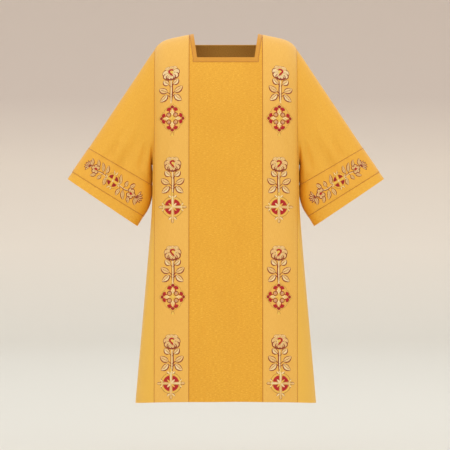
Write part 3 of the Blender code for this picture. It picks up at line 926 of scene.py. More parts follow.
def sideways(path):
    """Direction to the left of a path, at each of its points."""
    along = unit(np.gradient(path, axis=0))
    return np.stack([-along[:, 1], along[:, 0]], -1)


class Pen:
    """Sews on a patch from a place of its own, which may be turned, mirrored and scaled."""

    def __init__(self, patch, threads, origin, axes):
        self.patch, self.threads = patch, threads
        self.origin, self.axes = np.array(origin, float), np.array(axes, float)

    def at(self, x, y, turn=0.0, mirror=1, size=1.0):
        """A pen at another place. A positive turn is to the left."""
        angle = math.radians(turn)
        spin = [[math.cos(angle), -math.sin(angle)], [math.sin(angle), math.cos(angle)]]
        axes = self.axes @ np.array(spin) @ np.diag([mirror, 1]) * size
        return Pen(self.patch, self.threads, self.on_patch(np.array([x, y])), axes)

    def on_patch(self, places):
        return self.origin + places @ self.axes.T * 0.001

    def lay(self, places, heights, spots, colour):
        points, normals = self.patch.lift(self.on_patch(places), heights * 0.001)
        self.threads.add(points, normals, spots * 0.001, colour)

    def pad(self, spine, half_widths, colour, height=1.0, base=0.0, cells=6):
        """A raised filling along a spine. Gives back its left and right edges."""
        side = np.linspace(-1, 1, cells + 1)
        over = side[None, :, None] * half_widths[:, None, None]
        places = spine[:, None] + over * sideways(spine)[:, None]
        bulge = height * np.sqrt(half_widths / half_widths.max())
        profile = np.sqrt(1 - side**2)
        heights = base * (np.abs(side) < 1) + bulge[:, None] * profile - EDGE_SINK
        length = path_length(spine)
        spots = np.stack(np.broadcast_arrays(over[..., 0], length[:, None]), -1)
        self.lay(places, heights, spots, colour)
        return places[:, -1], places[:, 0]

    def lobe(self, points, width, widest, point, colour, height=1.0, base=0.0, count=9):
        """A raised leaf shape through the points. Gives back its left and right edges."""
        half_widths = widths(width, count, widest, point)
        return self.pad(curve(points, count), half_widths, colour, height, base)

    def line(self, path, radius, colour, base=0.0):
        """A cord of thread along a path. Its radius may differ from point to point."""
        path = np.array(path, float)
        radius = np.broadcast_to(np.asarray(radius, float), len(path))[:, None]
        turn = np.linspace(0, math.pi, CORD_POINTS)[None]
        over = -radius * np.cos(turn)
        places = path[:, None] + over[..., None] * sideways(path)[:, None]
        heights = base + radius * (CORD_HEIGHT * np.sin(turn) - CORD_SINK)
        length = path_length(path)
        spots = np.stack(np.broadcast_arrays(turn * radius, length[:, None]), -1)
        self.lay(places, heights, spots, colour)

    def sector(self, inner, outer, colour, height=0.9):
        """A quarter of a disc, up and to the right, clear of the two axes by inner."""
        turn = np.linspace(math.asin(inner / outer), math.acos(inner / outer), 10)
        share = np.linspace(0, 1, 7)[:, None]
        corner = np.array([inner, inner])
        rim = outer * np.stack([np.cos(turn), np.sin(turn)], -1)
        places = corner + share[..., None] * (rim[None] - corner)
        bulge = np.sin(math.pi * np.linspace(0.0, 1, 10))[None] ** 0.35
        heights = height * bulge * np.sin(math.pi * (0.15 + 0.85 * share)) ** 0.35 - EDGE_SINK
        spots = places[..., ::-1].copy()
        self.lay(places, heights, spots, colour)


def widths(width, count, widest, point, notches=0.0):
    """Half-widths of a leaf or petal from its base to its tip. It is widest at a share of its
    length, and blunter with a lower point."""
    share = np.linspace(0.015, 0.985, count) ** (math.log(0.5) / math.log(widest))
    half = width / 2 * np.sin(math.pi * share) ** point
    return half * (1 + notches * np.sin(2 * math.pi * LEAF_NOTCHES * np.linspace(0, 1, count)))


def turn_towards(base, tip):
    """Turn, in degrees, and length of a shape that grows up along y from base to tip."""
    over, up = tip[0] - base[0], tip[1] - base[1]
    return -math.degrees(math.atan2(over, up)), math.hypot(over, up)


def taper(count):
    """Thin at both ends of a line, full between."""
    return np.interp(np.linspace(0, 1, count), [0, 0.2, 0.75, 1], [0.4, 1.0, 1.0, 0.45])


def leaf(pen, base, tip, width, light, outline=1.9):
    """A toothed leaf from base to tip, with a half in its light colour and a pale half, and a
    dark brown edge that is heavier on its right, its extra width painted shadow."""
    turn, length = turn_towards(base, tip)
    pen = pen.at(*base, turn)
    spine = curve([(0, 0), (0.07 * length, length * 0.5), (0, length)], 15)
    half = widths(width, 15, 0.45, 0.8, 0.05)
    beside = sideways(spine) * half[:, None]
    for sign, colour in ((1, "pale"), (-1, light)):
        pen.pad(spine + sign * beside / 2, half / 2, colour, 1.2, 0.2, cells=4)
    # right edge: brown outline thread, widened as painted shadow
    pen.line(spine - beside, outline * taper(15), "brown")
    pen.line(spine + beside, outline * 0.65 * taper(15), "brown")
    pen.line(spine[:-3], 0.6, "gold", base=0.3)
    for start in (3, 6, 9):
        for sign in (1, -1):
            end = spine[start] + 0.62 * sign * beside[start + 2]
            pen.line(np.linspace(spine[start], end, 4), 0.24, "gold", base=0.9)


def petal(pen, length, width, colour, base, outline, edge="brown"):
    """A broad petal, up along y from its base, with a corded rim."""
    spine = curve([(0, 0), (0, length / 2), (0, length)], 13)
    left, right = pen.pad(spine, widths(width, 13, 0.66, 0.5), colour, 1.2, base, cells=8)
    rim = np.vstack([left[5:], right[:4:-1]])
    pen.line(rim, outline * taper(len(rim)), edge, base)
    for share in (-0.45, 0.0, 0.45):
        bend = (share * width * 0.25, length * 0.5)
        fold = curve([(0, length * 0.2), bend, (share * width * 0.72, length * 0.86)], 6)
        pen.line(fold, np.linspace(0.35, 0.15, 6), "gold", base + 1.0)


def rose(pen, sides):
    """An open rose seen from its side, with a red curl at its heart."""
    petal(pen.at(0, 3), 22, 17, "pale", 0.0, 0.6, "gold")
    for x, y, turn, length, width, base, outline in ROSE_PETALS:
        for mirror in (1, -1):
            side = pen.at(0, 0, mirror=mirror).at(x, y, turn)
            upper = turn > -60
            # lower petals: brown rims, outline thread with painted shadow in their width
            edge, colour = ("gold", "pale") if upper else ("brown", sides)
            petal(side, length, width, colour, base, outline, edge)
    # bottom petal: heavy brown rim, partly painted shadow
    petal(pen.at(0, 1, 180), 24.5, 20, sides, 1.0, 1.9)
    pen.lobe([(0, -9), (0, 3), (0, 17)], 19, 0.5, 0.5, "straw", 0.9, 1.3, 11)
    for path in (((-12, -1), (-8, -6), (-2, -13)), ((8.5, 6), (8.5, -1), (7, -8))):
        pen.line(curve(path, 10), 1.5 * taper(10), "cream", 1.9)
    for path in (((-8, 21), (-5.5, 17)), ((7, 21), (5.5, 17))):
        pen.line(curve(path, 5), 1.6, "cream", 1.9)
    places = np.linspace(0, 1, 30)
    half = np.interp(places, np.linspace(0, 1, len(ROSE_CURL_WIDTHS)), ROSE_CURL_WIDTHS)
    pen.pad(curve(ROSE_CURL, 30), half, "red", 0.9, 2.2)


def rose_stem(pen, sides):
    """A rose on its stem, with three pairs of leaves."""
    pen.pad(curve([(0, -24), (0.8, -55), (0, -103)], 26), np.full(26, 2.1), "cream", 1.1)
    # brown stem cords, heavier on the right: outline thread with painted shadow
    pen.line(curve([(3.4, -30), (5.0, -62), (3.0, -98)], 20), 1.7 * taper(20), "brown")
    pen.line(curve([(-2.8, -34), (-3.6, -70), (-2.6, -94)], 20), 0.8 * taper(20), "brown")
    for mirror in (1, -1):
        side = pen.at(0, 0, mirror=mirror)
        for number, (base, tip, width) in enumerate(ROSE_LEAVES):
            stalk = curve([(2, base[1] - 9), (base[0] * 0.55, base[1] - 5), base], 8)
            side.line(stalk, 1.5 if mirror > 0 else 1.1, "brown")
            leaf(side, base, tip, width, "pale" if number == 1 else "cream")
    rose(pen, sides)


def spiral(pen, mirror_x, mirror_y):
    """A pale coil in a dark ring."""
    share = np.linspace(0, 1, 30)
    turn = 2 * math.pi * 1.3 * share + math.pi / 4
    size = 4.2 * (1 - 0.8 * share)
    path = np.stack([mirror_x * size * np.cos(turn), mirror_y * size * np.sin(turn)], -1)
    pen.line(path, np.linspace(1.4, 0.9, 30), "mauve")
    around = 2 * math.pi * np.linspace(0, 1, 25)
    pen.line(7.0 * np.stack([np.cos(around), np.sin(around)], -1), 1.3, "brown")


def foliate_cross(pen):
    """A cross with starry ends and coils between its arms, in a border of red leaves."""
    for quarter in range(4):
        side = pen.at(0, 0, 90 * quarter, size=1.0 if quarter % 2 == 0 else 0.93)
        star_arm(side)
        side.lobe([(0, 33.5), (0, 39), (0, 44.5)], 13.2, 0.5, 0.9, "wine", 1.2)
        for mirror in (1, -1):
            red_wing(side.at(0, 0, mirror=mirror))
    for x in (1, -1):
        for y in (1, -1):
            spiral(pen.at(11.6 * x, 11.8 * y), x, y)
    pen.lobe([(0, -5), (0, 0), (0, 5)], 9, 0.5, 0.5, "straw", 1.0, 1.0)
    pen.lobe([(0, -50), (0, -55), (0, -61)], 6.5, 0.55, 0.7, "straw", 1.1)
    tail = curve([(-5.5, -57), (-3.4, -50), (0, -47.5), (3.4, -50), (5.5, -57)], 15)
    pen.line(tail, 0.7, "gold")


def star_arm(pen):
    """One arm of the foliate cross, up along y: a stem that ends in a four-pointed star."""
    pen.pad(curve([(0, 1), (0, 8), (0, 15)], 9), np.full(9, 2.3), "straw", 1.0, 0.2)
    bar = [(-9.5, 21.5), (0, 20.5), (9.5, 21.5)]
    pen.lobe([(0, 9), (0, 21), (0, 34)], 8.0, 0.45, 1.5, "cream", 1.2, 0.5, 13)
    pen.lobe(bar, 6.4, 0.5, 1.5, "cream", 1.2, 0.4, 13)
    pen.lobe([(0, 17.5), (0, 24.5)], 4.0, 0.5, 0.8, "straw", 0.9, 1.4, 7)


def red_wing(pen):
    """The red leaf beside an arm's end, on the right, with its neck and gold border."""
    spine = [(2.6, 32.2), (9.8, 31.6), (18.6, 27.2)]
    left = pen.lobe(spine, 12.2, 0.55, 0.6, "red", 1.3, count=13)[0]
    pen.line(left, 0.5, "gold")
    neck = curve([(9.4, 18.5), (8.8, 23), (10.3, 29)], 7)
    pen.line(neck, np.linspace(1.3, 2.5, 7), "red")
    pen.line(curve([(2.0, 49), (9, 41.5), (20, 35), (27, 27)], 14), 0.6, "gold")


def fleur(pen, reach, colour):
    """The end of a cross's arm: a pointed lobe between two spurs, ending reach away."""
    spine = [(0, reach - 19), (0, reach - 8), (0, reach)]
    left, right = pen.lobe(spine, 8.4, 0.6, 0.9, colour, 1.2, 0.3, 11)
    pen.line(right, 0.8, "brown", 0.2)
    pen.line(left, 0.7, "gold", 0.2)
    for mirror in (1, -1):
        side = pen.at(0, 0, mirror=mirror)
        spur = [(1.0, reach - 22), (6.5, reach - 17.5), (13.2, reach - 11.5)]
        right = side.lobe(spur, 5.8, 0.68, 0.6, "cream", 1.2, count=11)[1]
        side.line(right, 0.8, "brown")


def wheel_cross(pen):
    """A pale cross over a red disc in gold rings."""
    rings(pen, WHEEL_RINGS)
    for quarter, reach in enumerate(WHEEL_ARMS):
        colour = "cream" if quarter in (0, 3) else "pale"
        side = pen.at(0, 0, 90 * quarter)
        side.sector(4.4, 28.2, "red")
        arm = curve([(0, 1), (0, (reach - 14) / 2), (0, reach - 14)], 14)
        half = np.interp(np.linspace(0, 1, 14), [0, 0.5, 1], [2.4, 3.5, 3.3])
        left, right = side.pad(arm, half, colour, 1.4, 0.3)
        side.line(left, 0.4, "gold", 0.3)
        side.line(right, 0.4, "gold", 0.3)
        fleur(side, reach, "straw" if quarter == 0 else "pale")
    for turn, width, colour in WHEEL_RAYS:
        ray = [(0, 0), (0, 8), (0, 18)]
        pen.at(0, 0, turn).lobe(ray, width, 0.6, 0.6, colour, 1.2, 1.2, 10)


def rings(pen, table):
    """Round cords, one for each row of the table."""
    around = 2 * math.pi * np.linspace(0, 1, 49)
    circle = np.stack([np.sin(around), np.cos(around)], -1)
    for radius, cord, colour in table:
        pen.line(circle * radius, cord, colour)


def small_cross(pen):
    """The cross in the middle of a sleeve's band: four red quarters between short arms."""
    rings(pen, SMALL_WHEEL_RINGS)
    for quarter in range(4):
        side = pen.at(0, 0, 90 * quarter)
        side.sector(4.6, 20.0, "wine")
        side.lobe([(0, 1), (0, 12), (0, 24)], 5.2, 0.4, 0.5, "straw", 1.2, 0.3, 12)
        for mirror in (1, -1):
            half = side.at(0, 0, mirror=mirror)
            right = half.lobe([(0.5, 19), (3.6, 23), (7.5, 30)], 3.6, 0.6, 0.8, "cream", 1.1)[1]
            half.line(right, 0.5, "brown")
    pen.lobe([(0, -4), (0, 0), (0, 4)], 7, 0.5, 0.5, "cream", 1.0, 1.2)


def sleeve_spray(pen):
    """Leaves, a small rose and a fan of pointed blades, up along y."""
    stem = curve([(0, 24), (2.5, 45), (-1, 66), (3, 84), (2, 96)], 26)
    pen.line(stem, 1.1, "cream")
    pen.line(stem + (2.2, 0), 1.0 * taper(26), "brown")
    for base, tip, width in SPRAY_LEAVES:
        at_stem = np.interp(base[1] - 5, stem[:, 1], stem[:, 0])
        stalk = curve([(at_stem, base[1] - 5), (base[0] * 0.6, base[1] - 2), base], 6)
        pen.line(stalk, 0.9, "brown")
        hand = 1 if base[0] > 0 else -1
        side = pen.at(0, 0, mirror=hand)
        leaf(side, (base[0] * hand, base[1]), (tip[0] * hand, tip[1]), width, "pale", outline=1.4)
    small_rose(pen.at(4, 70))
    for turn in (-62, -36, -12, 12, 36, 62):
        blade = pen.at(2, 90, turn)
        left, right = blade.lobe([(0, 0), (1.4, 10), (0, 21)], 4.6, 0.6, 0.9, "pale")
        blade.line(right, 1.3, "brown")
        blade.line(left, 0.7, "brown")


def small_rose(pen):
    """A small closed rose, up along y, with a red heart."""
    for turn in (-125, -70, 70, 125, 0):
        petal(pen.at(0, 0, turn), 15, 12, "pale", 0.2, 1.4)
    pen.lobe([(-2, -4.5), (1, 0), (-1, 5)], 8.5, 0.5, 0.6, "red", 1.0, 1.6)


def sleeve_motif(pen):
    """A small cross in a ring, with a spray to each side along x."""
    for turn, size in ((-90, 1.06), (90, 1.0)):
        sleeve_spray(pen.at(0, 0, turn, size=size))
    small_cross(pen)


def seam_line(threads, points, normals, radius, colour, lift=0.0):
    """A cord of thread along a line of points in space."""
    along = unit(np.gradient(points, axis=0))
    side = unit(np.cross(normals, along))
    turn = np.linspace(0, math.pi, CORD_POINTS)
    ring = radius * (side[:, None] * np.cos(turn)[None, :, None])
    ring = ring + (lift + radius * (np.sin(turn) - SEAM_SINK))[None, :, None] * normals[:, None]
    length = path_length(points)
    spots = np.stack(np.broadcast_arrays(turn[None] * radius, length[:, None]), -1)
    cord = points[:, None] + ring
    threads.add(cord, np.broadcast_to(normals[:, None], cord.shape), spots, colour)


def stitches(threads, points, normals, colour):
    """A row of separate stitches along a line of points in space."""
    length = path_length(points)
    count = int(length[-1] / STITCH_PITCH)
    for number in range(count):
        at = (number + np.linspace(0.0, STITCH_SHARE, len(STITCH_PROFILE))) * STITCH_PITCH
        path = np.stack([np.interp(at, length, points[:, k]) for k in range(3)], -1)
        out = unit(np.stack([np.interp(at, length, normals[:, k]) for k in range(3)], -1))
        sunk = np.array(STITCH_PROFILE)[:, None] * STITCH_RADIUS
        seam_line(threads, path + out * sunk, out, STITCH_RADIUS, colour)


def sew_clavus(hand, strip, materials, name):
    """The embroidery of an upright band, the same on its front and back halves."""
    threads = Threads()
    middle = strip["outer"].shape[1] // 2
    lines = strip["outer"][0, :, 0]
    for half in (slice(0, strip["shoulder"] + 1), slice(strip["shoulder"], None)):
        along, heights = strip["place"][half, middle, 1], strip["outer"][half, middle, 2]
        patch = Patch(strip["outer"][half], strip["normals"][half], lines, along)
        upward = np.sign(heights[-1] - heights[0])
        order = slice(None, None, int(upward))
        for number, places in enumerate(zip(ROSE_PLACES, CROSS_PLACES)):
            pens = []
            for x, z in places:
                spot = (hand * x, np.interp(z, heights[order], along[order]))
                pens.append(Pen(patch, threads, spot, np.diag([-hand, upward])))
            rose_stem(pens[0], "cream" if number == 0 else "pale")
            (foliate_cross, wheel_cross)[number % 2](pens[1])
    for column, inside, beside in ((0, 1, 4), (-1, -2, -5)):
        points, normals = strip["outer"][:, column], strip["normals"][:, column]
        outward = unit(points - strip["outer"][:, inside])
        moved = points + outward * SEAM_SHIFT
        seam_line(threads, moved, normals, SEAM_CORD, "seam", SEAM_SHIFT)
        stitches(threads, strip["outer"][:, beside], strip["normals"][:, beside], "straw")
    return threads.finish(name, materials)


def sew_sleeve_band(surface, materials, name):
    """The embroidery of a sleeve's band, on its front and its back."""
    threads = Threads()
    count = surface["outer"].shape[1] - 1
    along = surface["place"][:, 0, 1]
    for columns in (slice(0, count // 2 + 1), slice(count // 2, None)):
        down = (1 - surface["across"][0, columns]) * SLEEVE_WIDTH
        patch = Patch(surface["outer"][:, columns], surface["normals"][:, columns], down, along)
        sleeve_motif(Pen(patch, threads, (BAND_MOTIF_FROM_TOP, BAND_MOTIF_ABOVE_HEM), np.eye(2)))
    for row, beside in ((0, 1), (-1, -2)):
        points, normals = surface["outer"][row], surface["normals"][row]
        seam_line(threads, points, normals, SEAM_CORD, "seam", -SEAM_SHIFT)
        inward = unit(surface["outer"][beside] - points) * STITCH_INSET
        stitches(threads, points + inward + normals * STITCH_LIFT, normals, "straw")
    return threads.finish(name, materials)


def sew_neck_band(surface, materials, name):
    """Seam lines along the outer edges of the band round the neck."""
    threads = Threads()
    left, right = NECK_BAND_LEFT, NECK_BAND_RIGHT
    edges = (np.s_[BAND_ROW:, left], np.s_[BAND_ROW, left : right + 1], np.s_[BAND_ROW:, right])
    for edge in edges:
        points, normals = surface["points"][edge], surface["normals"][edge]
        raised = points + normals * (STRIP_BASE + STRIP_THICKNESS * OUTER_EDGE_SHARE)
        seam_line(threads, raised, normals, SEAM_CORD * NECK_SEAM_SHARE, "seam")
    return threads.finish(name, materials)


# Colours of the cloth and threads, with painted light on the side gores


def srgb(red, green, blue):
    """A colour given from 0 to 255, as Blender wants it."""
    values = [value / 255 for value in (red, green, blue)]
    return [v / 12.92 if v <= 0.04045 else ((v + 0.055) / 1.055) ** 2.4 for v in values] + [1.0]


class Nodes:
    """Short names for the nodes of one material."""

    def __init__(self, name, roughness, metallic=0.0, sheen=0.0, sheen_tint=(1, 1, 1, 1)):
        self.material = bpy.data.materials.new(name)
        self.material.use_nodes = True
        self.tree = self.material.node_tree
        self.shader = self.tree.nodes["Principled BSDF"]
        self.shader.inputs["Roughness"].default_value = roughness
        self.shader.inputs["Metallic"].default_value = metallic
        self.shader.inputs["Sheen Weight"].default_value = sheen
        self.shader.inputs["Sheen Roughness"].default_value = 0.4
        self.shader.inputs["Sheen Tint"].default_value = sheen_tint

    def add(self, kind, **inputs):
        node = self.tree.nodes.new(kind)
        for name, value in inputs.items():
            self.put(node.inputs[name.replace("_", " ")], value)
        return node

    def put(self, socket, value):
        if isinstance(value, bpy.types.NodeSocket):
            self.tree.links.new(value, socket)
        else:
            socket.default_value = value

    def cloth_place(self, scale):
        """The place on the cloth in metres, times a scale across and along."""
        uv = self.tree.nodes.new("ShaderNodeUVMap")
        uv.uv_map = "cloth"
        return self.add("ShaderNodeMapping", Vector=uv.outputs["UV"], Scale=(*scale, 1)).outputs[0]

    def noise(self, scale, detail=2.0, rough=0.5):
        """Noise with grains 1/scale metres wide and high."""
        place = self.cloth_place(scale)
        settings = dict(Scale=1.0, Detail=detail, Roughness=rough)
        return self.add("ShaderNodeTexNoise", Vector=place, **settings).outputs["Fac"]

    def ribs(self, pitch, direction):
        """Waves with the given pitch in metres, across ("X") or along ("Y") the cloth."""
        place = self.cloth_place((1.0, 1.0))
        node = self.add("ShaderNodeTexWave", Vector=place, Scale=math.pi / (10 * pitch))
        node.bands_direction = direction
        return node.outputs["Fac"]

    def beyond(self, low, high):
        """0 nearer than low to the middle of the cloth, 1 further across than high."""
        place = self.add("ShaderNodeSeparateXYZ", Vector=self.cloth_place((1.0, 1.0)))
        distance = self.tree.nodes.new("ShaderNodeMath")
        distance.operation = "ABSOLUTE"
        self.put(distance.inputs[0], place.outputs["X"])
        return self.steps(distance.outputs[0], low, high)

    def blend(self, factor, low, high):
        node = self.tree.nodes.new("ShaderNodeMix")
        node.data_type = "RGBA"
        self.put(node.inputs[0], factor)
        self.put(node.inputs[6], low)
        self.put(node.inputs[7], high)
        return node.outputs[2]

    def steps(self, factor, low, high):
        """0 below low, 1 above high and smooth between."""
        node = self.tree.nodes.new("ShaderNodeMapRange")
        node.interpolation_type = "SMOOTHSTEP"
        self.put(node.inputs["Value"], factor)
        node.inputs["From Min"].default_value = low
        node.inputs["From Max"].default_value = high
        return node.outputs[0]

    def sum(self, *weighted):
        """Sum of (value, weight) pairs."""
        total = None
        for value, weight in weighted:
            node = self.tree.nodes.new("ShaderNodeMath")
            node.operation = "MULTIPLY_ADD"
            self.put(node.inputs[0], value)
            node.inputs[1].default_value = weight
            self.put(node.inputs[2], 0.0 if total is None else total)
            total = node.outputs[0]
        return total

    def finish(self, colour, height=None, distance=0.0003, strength=0.5):
        self.put(self.shader.inputs["Base Color"], colour)
        if height is not None:
            bump = self.add("ShaderNodeBump", Height=height, Distance=distance, Strength=strength)
            self.put(self.shader.inputs["Normal"], bump.outputs[0])
        return self.material


def brocade(name, dark, middle, light, side=None):
    """Ribbed gold cloth with short bright flecks of metal thread. side is a paler colour beyond
    the upright bands: painted light that makes the side gores lighter than the middle."""
    nodes = Nodes(name, 0.52, metallic=0.10, sheen=0.12, sheen_tint=srgb(255, 220, 120))
    grain = nodes.noise((330, 330), 3.0, 0.6)
    fleck = nodes.noise((105, 520), 2.0, 0.55)
    drift = nodes.noise((7, 5))
    tone = nodes.blend(nodes.steps(nodes.sum((grain, 0.5), (fleck, 0.5)), 0.36, 0.62), dark, middle)
    tone = nodes.blend(nodes.steps(nodes.sum((fleck, 0.7), (grain, 0.3)), 0.54, 0.72), tone, light)
    tone = nodes.blend(nodes.sum((nodes.steps(drift, 0.3, 0.7), 0.3)), tone, dark)
    # painted light: the same cloth is made paler and yellower on the side gores
    if side is not None:
        tone = nodes.blend(nodes.sum((nodes.beyond(0.15, 0.23), 0.8)), tone, side)
    ribs, warp = nodes.ribs(RIB_PITCH, "Y"), nodes.ribs(0.0008, "X")
    height = nodes.sum((ribs, 0.5), (warp, 0.25), (fleck, 0.9))
    return nodes.finish(tone, height, 0.00035, 0.45)


def satin(name, dark, middle):
    """Smooth cloth with fine upright threads."""
    nodes = Nodes(name, 0.48, metallic=0.05, sheen=0.12, sheen_tint=srgb(255, 226, 160))
    thread = nodes.noise((900, 60))
    drift = nodes.noise((16, 8))
    grain = nodes.noise((420, 420))
    tone = nodes.blend(nodes.steps(nodes.sum((thread, 0.5), (grain, 0.5)), 0.3, 0.7), dark, middle)
    tone = nodes.blend(nodes.sum((nodes.steps(drift, 0.35, 0.7), 0.2)), tone, dark)
    height = nodes.sum((nodes.ribs(THREAD_PITCH, "X"), 0.5), (thread, 0.6), (grain, 0.3))
    return nodes.finish(tone, height, 0.0002, 0.35)


def reverse_cloth(name, dark, middle):
    """The duller back of the cloth, inside the garment."""
    nodes = Nodes(name, 0.75)
    thread = nodes.noise((260, 700))
    tone = nodes.blend(nodes.steps(thread, 0.35, 0.65), dark, middle)
    height = nodes.sum((nodes.ribs(RIB_PITCH, "Y"), 0.6), (nodes.ribs(0.0009, "X"), 0.5))
    return nodes.finish(tone, height, 0.0003, 0.4)


def thread(name, dark, middle, roughness, sheen):
    """Satin stitch: threads laid side by side, across each shape."""
    nodes = Nodes(name, roughness, metallic=0.05, sheen=sheen)
    lines = nodes.ribs(THREAD_PITCH, "Y")
    wander = nodes.noise((300, 900))
    mixed = nodes.sum((lines, 0.35), (wander, 0.65))
    tone = nodes.blend(nodes.steps(mixed, 0.3, 0.7), dark, middle)
    height = nodes.sum((lines, 0.8), (wander, 0.5))
    return nodes.finish(tone, height, 0.0003, 0.7)


def make_materials():
    """Every cloth and thread, by the name that the other functions use."""
    materials = dict(
        brocade=brocade(
            "gold_brocade", srgb(224, 156, 28), srgb(238, 176, 40), srgb(250, 206, 78),
            # side: painted light, a paler tone where the side gores seem to catch more light
            side=srgb(240, 190, 78),
        ),
        sleeve=brocade(
            "sleeve_brocade", srgb(230, 164, 42), srgb(240, 182, 54), srgb(246, 196, 76)
        ),
        reverse=reverse_cloth("gold_reverse", srgb(204, 146, 56), srgb(228, 174, 80)),
        clavus=satin("peach_gold_satin", srgb(230, 170, 66), srgb(241, 189, 84)),
        sleeve_band=satin("gold_satin", srgb(228, 160, 36), srgb(240, 180, 50)),
        neck_band=satin("deep_gold_satin", srgb(206, 138, 26), srgb(218, 152, 36)),
    )
    for colour, (name, dark, middle, roughness, sheen) in THREADS.items():
        materials[colour] = thread(name, srgb(*dark), srgb(*middle), roughness, sheen)
    return materials


# Stage


def camera():
    """A level camera far in front."""
    data = bpy.data.cameras.new("camera")
    thing = bpy.data.objects.new("camera", data)
    bpy.context.scene.collection.objects.link(thing)
    data.sensor_width = SENSOR_WIDTH
    data.lens = SENSOR_WIDTH * CAMERA_DISTANCE / FRAME_WIDTH
    data.clip_end = CLIP_END
    thing.location = (CAMERA_X, REFERENCE_Y - CAMERA_DISTANCE, CENTRE_Z)
    thing.rotation_euler = (math.pi / 2, 0, 0)
    bpy.context.scene.camera = thing


def area_light(name, place, target, size, power):
    """A square white lamp, turned to its target and hidden from the camera."""
    data = bpy.data.lights.new(name, "AREA")
    data.shape = "SQUARE"
    data.size = size
    data.energy = power
    lamp = bpy.data.objects.new(name, data)
    lamp.visible_camera = False
    bpy.context.scene.collection.objects.link(lamp)
    lamp.location = place
    aim = np.array(target) - np.array(place)
    lamp.rotation_euler = (
        math.atan2(math.hypot(aim[0], aim[1]), -aim[2]),
        0,
        math.atan2(aim[1], aim[0]) - math.pi / 2,
    )


def backdrop():
    """A pale round floor that sweeps up into a wall all round, far outside every view."""
    flat = WALL_RADIUS - WALL_BEND
    profile = [(0.0, FLOOR_Z), (FLOOR_RADIUS, FLOOR_Z), (flat, FLOOR_Z)]
    for step in range(1, BEND_STEPS + 1):
        turn = math.pi / 2 * step / BEND_STEPS
        rise = WALL_BEND * (1 - math.cos(turn))
        profile.append((flat + WALL_BEND * math.sin(turn), FLOOR_Z + rise))
    profile.append((WALL_RADIUS, WALL_TOP))
    radius, height = np.array(profile).T
    angle = 2 * math.pi * np.arange(WALL_SIDES + 1) / WALL_SIDES
    rings = [radius[:, None] * np.cos(angle), radius[:, None] * np.sin(angle)]
    points = np.stack([*rings, np.repeat(height[:, None], WALL_SIDES + 1, 1)], -1)
    rows, columns = points.shape[:2]
    at = np.arange(rows * columns).reshape(rows, columns)
    faces = np.stack(grid_corners(at), -1).reshape(-1, 4)
    points = points.reshape(-1, 3)
    mesh = bpy.data.meshes.new("studio_sweep")
    mesh.from_pydata(points.tolist(), [], faces.tolist())
    layer = mesh.uv_layers.new(name="cloth")
    layer.uv.foreach_set("vector", points[faces.ravel()][:, ::2].astype(np.float32).ravel())
    mesh.materials.append(backdrop_material())
    mesh.shade_smooth()
    thing = bpy.data.objects.new("studio_sweep", mesh)
    bpy.context.scene.collection.objects.link(thing)


def backdrop_material():
    """Paper whose tone changes with height."""
    nodes = Nodes("studio_paper", 0.9)
    place = nodes.cloth_place((1.0, 1.0))
    height = nodes.add("ShaderNodeSeparateXYZ", Vector=place).outputs["Y"]
    ramp = nodes.tree.nodes.new("ShaderNodeValToRGB")
    spread = nodes.tree.nodes.new("ShaderNodeMapRange")
    spread.inputs["From Min"].default_value = PAPER_BOTTOM
    spread.inputs["From Max"].default_value = PAPER_TOP
    nodes.put(spread.inputs["Value"], height)
    nodes.put(ramp.inputs[0], spread.outputs[0])
    ramp.color_ramp.elements[0].color = srgb(*PAPER_TONES[0][1])
    ramp.color_ramp.elements[1].color = srgb(*PAPER_TONES[-1][1])
    for place_on_ramp, colour in PAPER_TONES[1:-1]:
        ramp.color_ramp.elements.new(place_on_ramp).color = srgb(*colour)
    return nodes.finish(ramp.outputs[0])


def sky():
    """Even white light from all round."""
    world = bpy.data.worlds.new("studio")
    world.use_nodes = True
    background = world.node_tree.nodes["Background"]
    background.inputs["Color"].default_value = (1.0, 1.0, 1.0, 1)
    background.inputs["Strength"].default_value = SKY_STRENGTH
    bpy.context.scene.world = world


def stage():
    """Camera, backdrop and light."""
    camera()
    backdrop()
    for light in LIGHTS:
        area_light(**light)
    sky()
    bpy.context.scene.view_settings.view_transform = "Standard"


def declare(surface, stitching=(), strip_width=None):
    """Works out the area and flat size of a piece's cloth, cut as the grid of its cloth lies flat,
    or as a straight strip of the given width. Nothing is done with them."""
    points, cells = surface["outer"], surface["cells"]
    a, b, c, d = grid_corners(points)
    area = np.linalg.norm(np.cross(c - a, d - b), axis=-1)[cells].sum() / 2
    across = np.linalg.norm(b - a, axis=-1) * cells
    along = np.linalg.norm(d - a, axis=-1) * cells
    flat = (float(across.sum(axis=1).max()), float(along.sum(axis=0).max()))
    if strip_width is not None:
        flat = (strip_width, float(area) / strip_width)


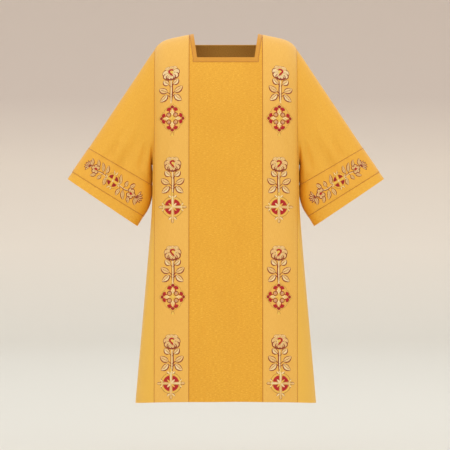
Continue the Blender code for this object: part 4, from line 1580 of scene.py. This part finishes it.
def make_body(side, surface, materials):
    """A front or back with its half of the neck band."""
    panel = body_panel(side, surface, [materials["brocade"], materials["reverse"]])
    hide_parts(side)
    declare(dict(outer=surface["points"], cells=surface["cells"]))
    band = neck_band(side, surface, materials["neck_band"])
    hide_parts(f"neck_band_{side}")
    sewn = sew_neck_band(surface, materials, f"stitching_neck_{side}")
    cloth = dict(outer=surface["points"], cells=neck_band_cells(surface))
    declare(cloth, sewn, NECK_BAND_WIDTH)


def make_clavus(word, hand, surfaces, materials):
    """An upright band and its embroidery."""
    strip = clavus_surface(hand, surfaces)
    piece = shell(
        f"clavus_{word}_cloth", strip["inner"], strip["outer"], strip["cells"],
        strip["place"], 1.0, [materials["clavus"]],
    )
    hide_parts(f"clavus_{word}")
    declare(strip, sew_clavus(hand, strip, materials, f"stitching_clavus_{word}"))


def make_sleeve(word, hand, surfaces, materials):
    """A sleeve with its band and the band's embroidery."""
    surface = sleeve_surface(hand, surfaces)
    cloth = sleeve_cloth(word, hand, surface, [materials["sleeve"], materials["reverse"]])
    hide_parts(f"sleeve_{word}")
    declare(dict(outer=surface["points"], cells=surface["cells"]))
    band = sleeve_band_surface(surface)
    piece = shell(
        f"sleeve_band_{word}_cloth", band["inner"], band["outer"], band["cells"],
        band["place"], hand, [materials["sleeve_band"]], ring=True,
    )
    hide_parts(f"sleeve_band_{word}")
    declare(band, sew_sleeve_band(band, materials, f"stitching_sleeve_{word}"))


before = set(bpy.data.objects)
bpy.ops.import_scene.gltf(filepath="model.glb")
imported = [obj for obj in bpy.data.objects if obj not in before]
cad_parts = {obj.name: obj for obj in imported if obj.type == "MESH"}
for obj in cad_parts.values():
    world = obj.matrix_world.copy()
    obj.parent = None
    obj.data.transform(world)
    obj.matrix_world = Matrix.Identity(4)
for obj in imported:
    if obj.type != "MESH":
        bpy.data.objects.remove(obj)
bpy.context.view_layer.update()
all_materials = make_materials()
body_surfaces = {side: body_surface(side) for side in SIGN}
for side_word, body in body_surfaces.items():
    make_body(side_word, body, all_materials)
for hand_word, hand_sign in HANDS.items():
    make_clavus(hand_word, hand_sign, body_surfaces, all_materials)
    make_sleeve(hand_word, hand_sign, body_surfaces, all_materials)
stage()
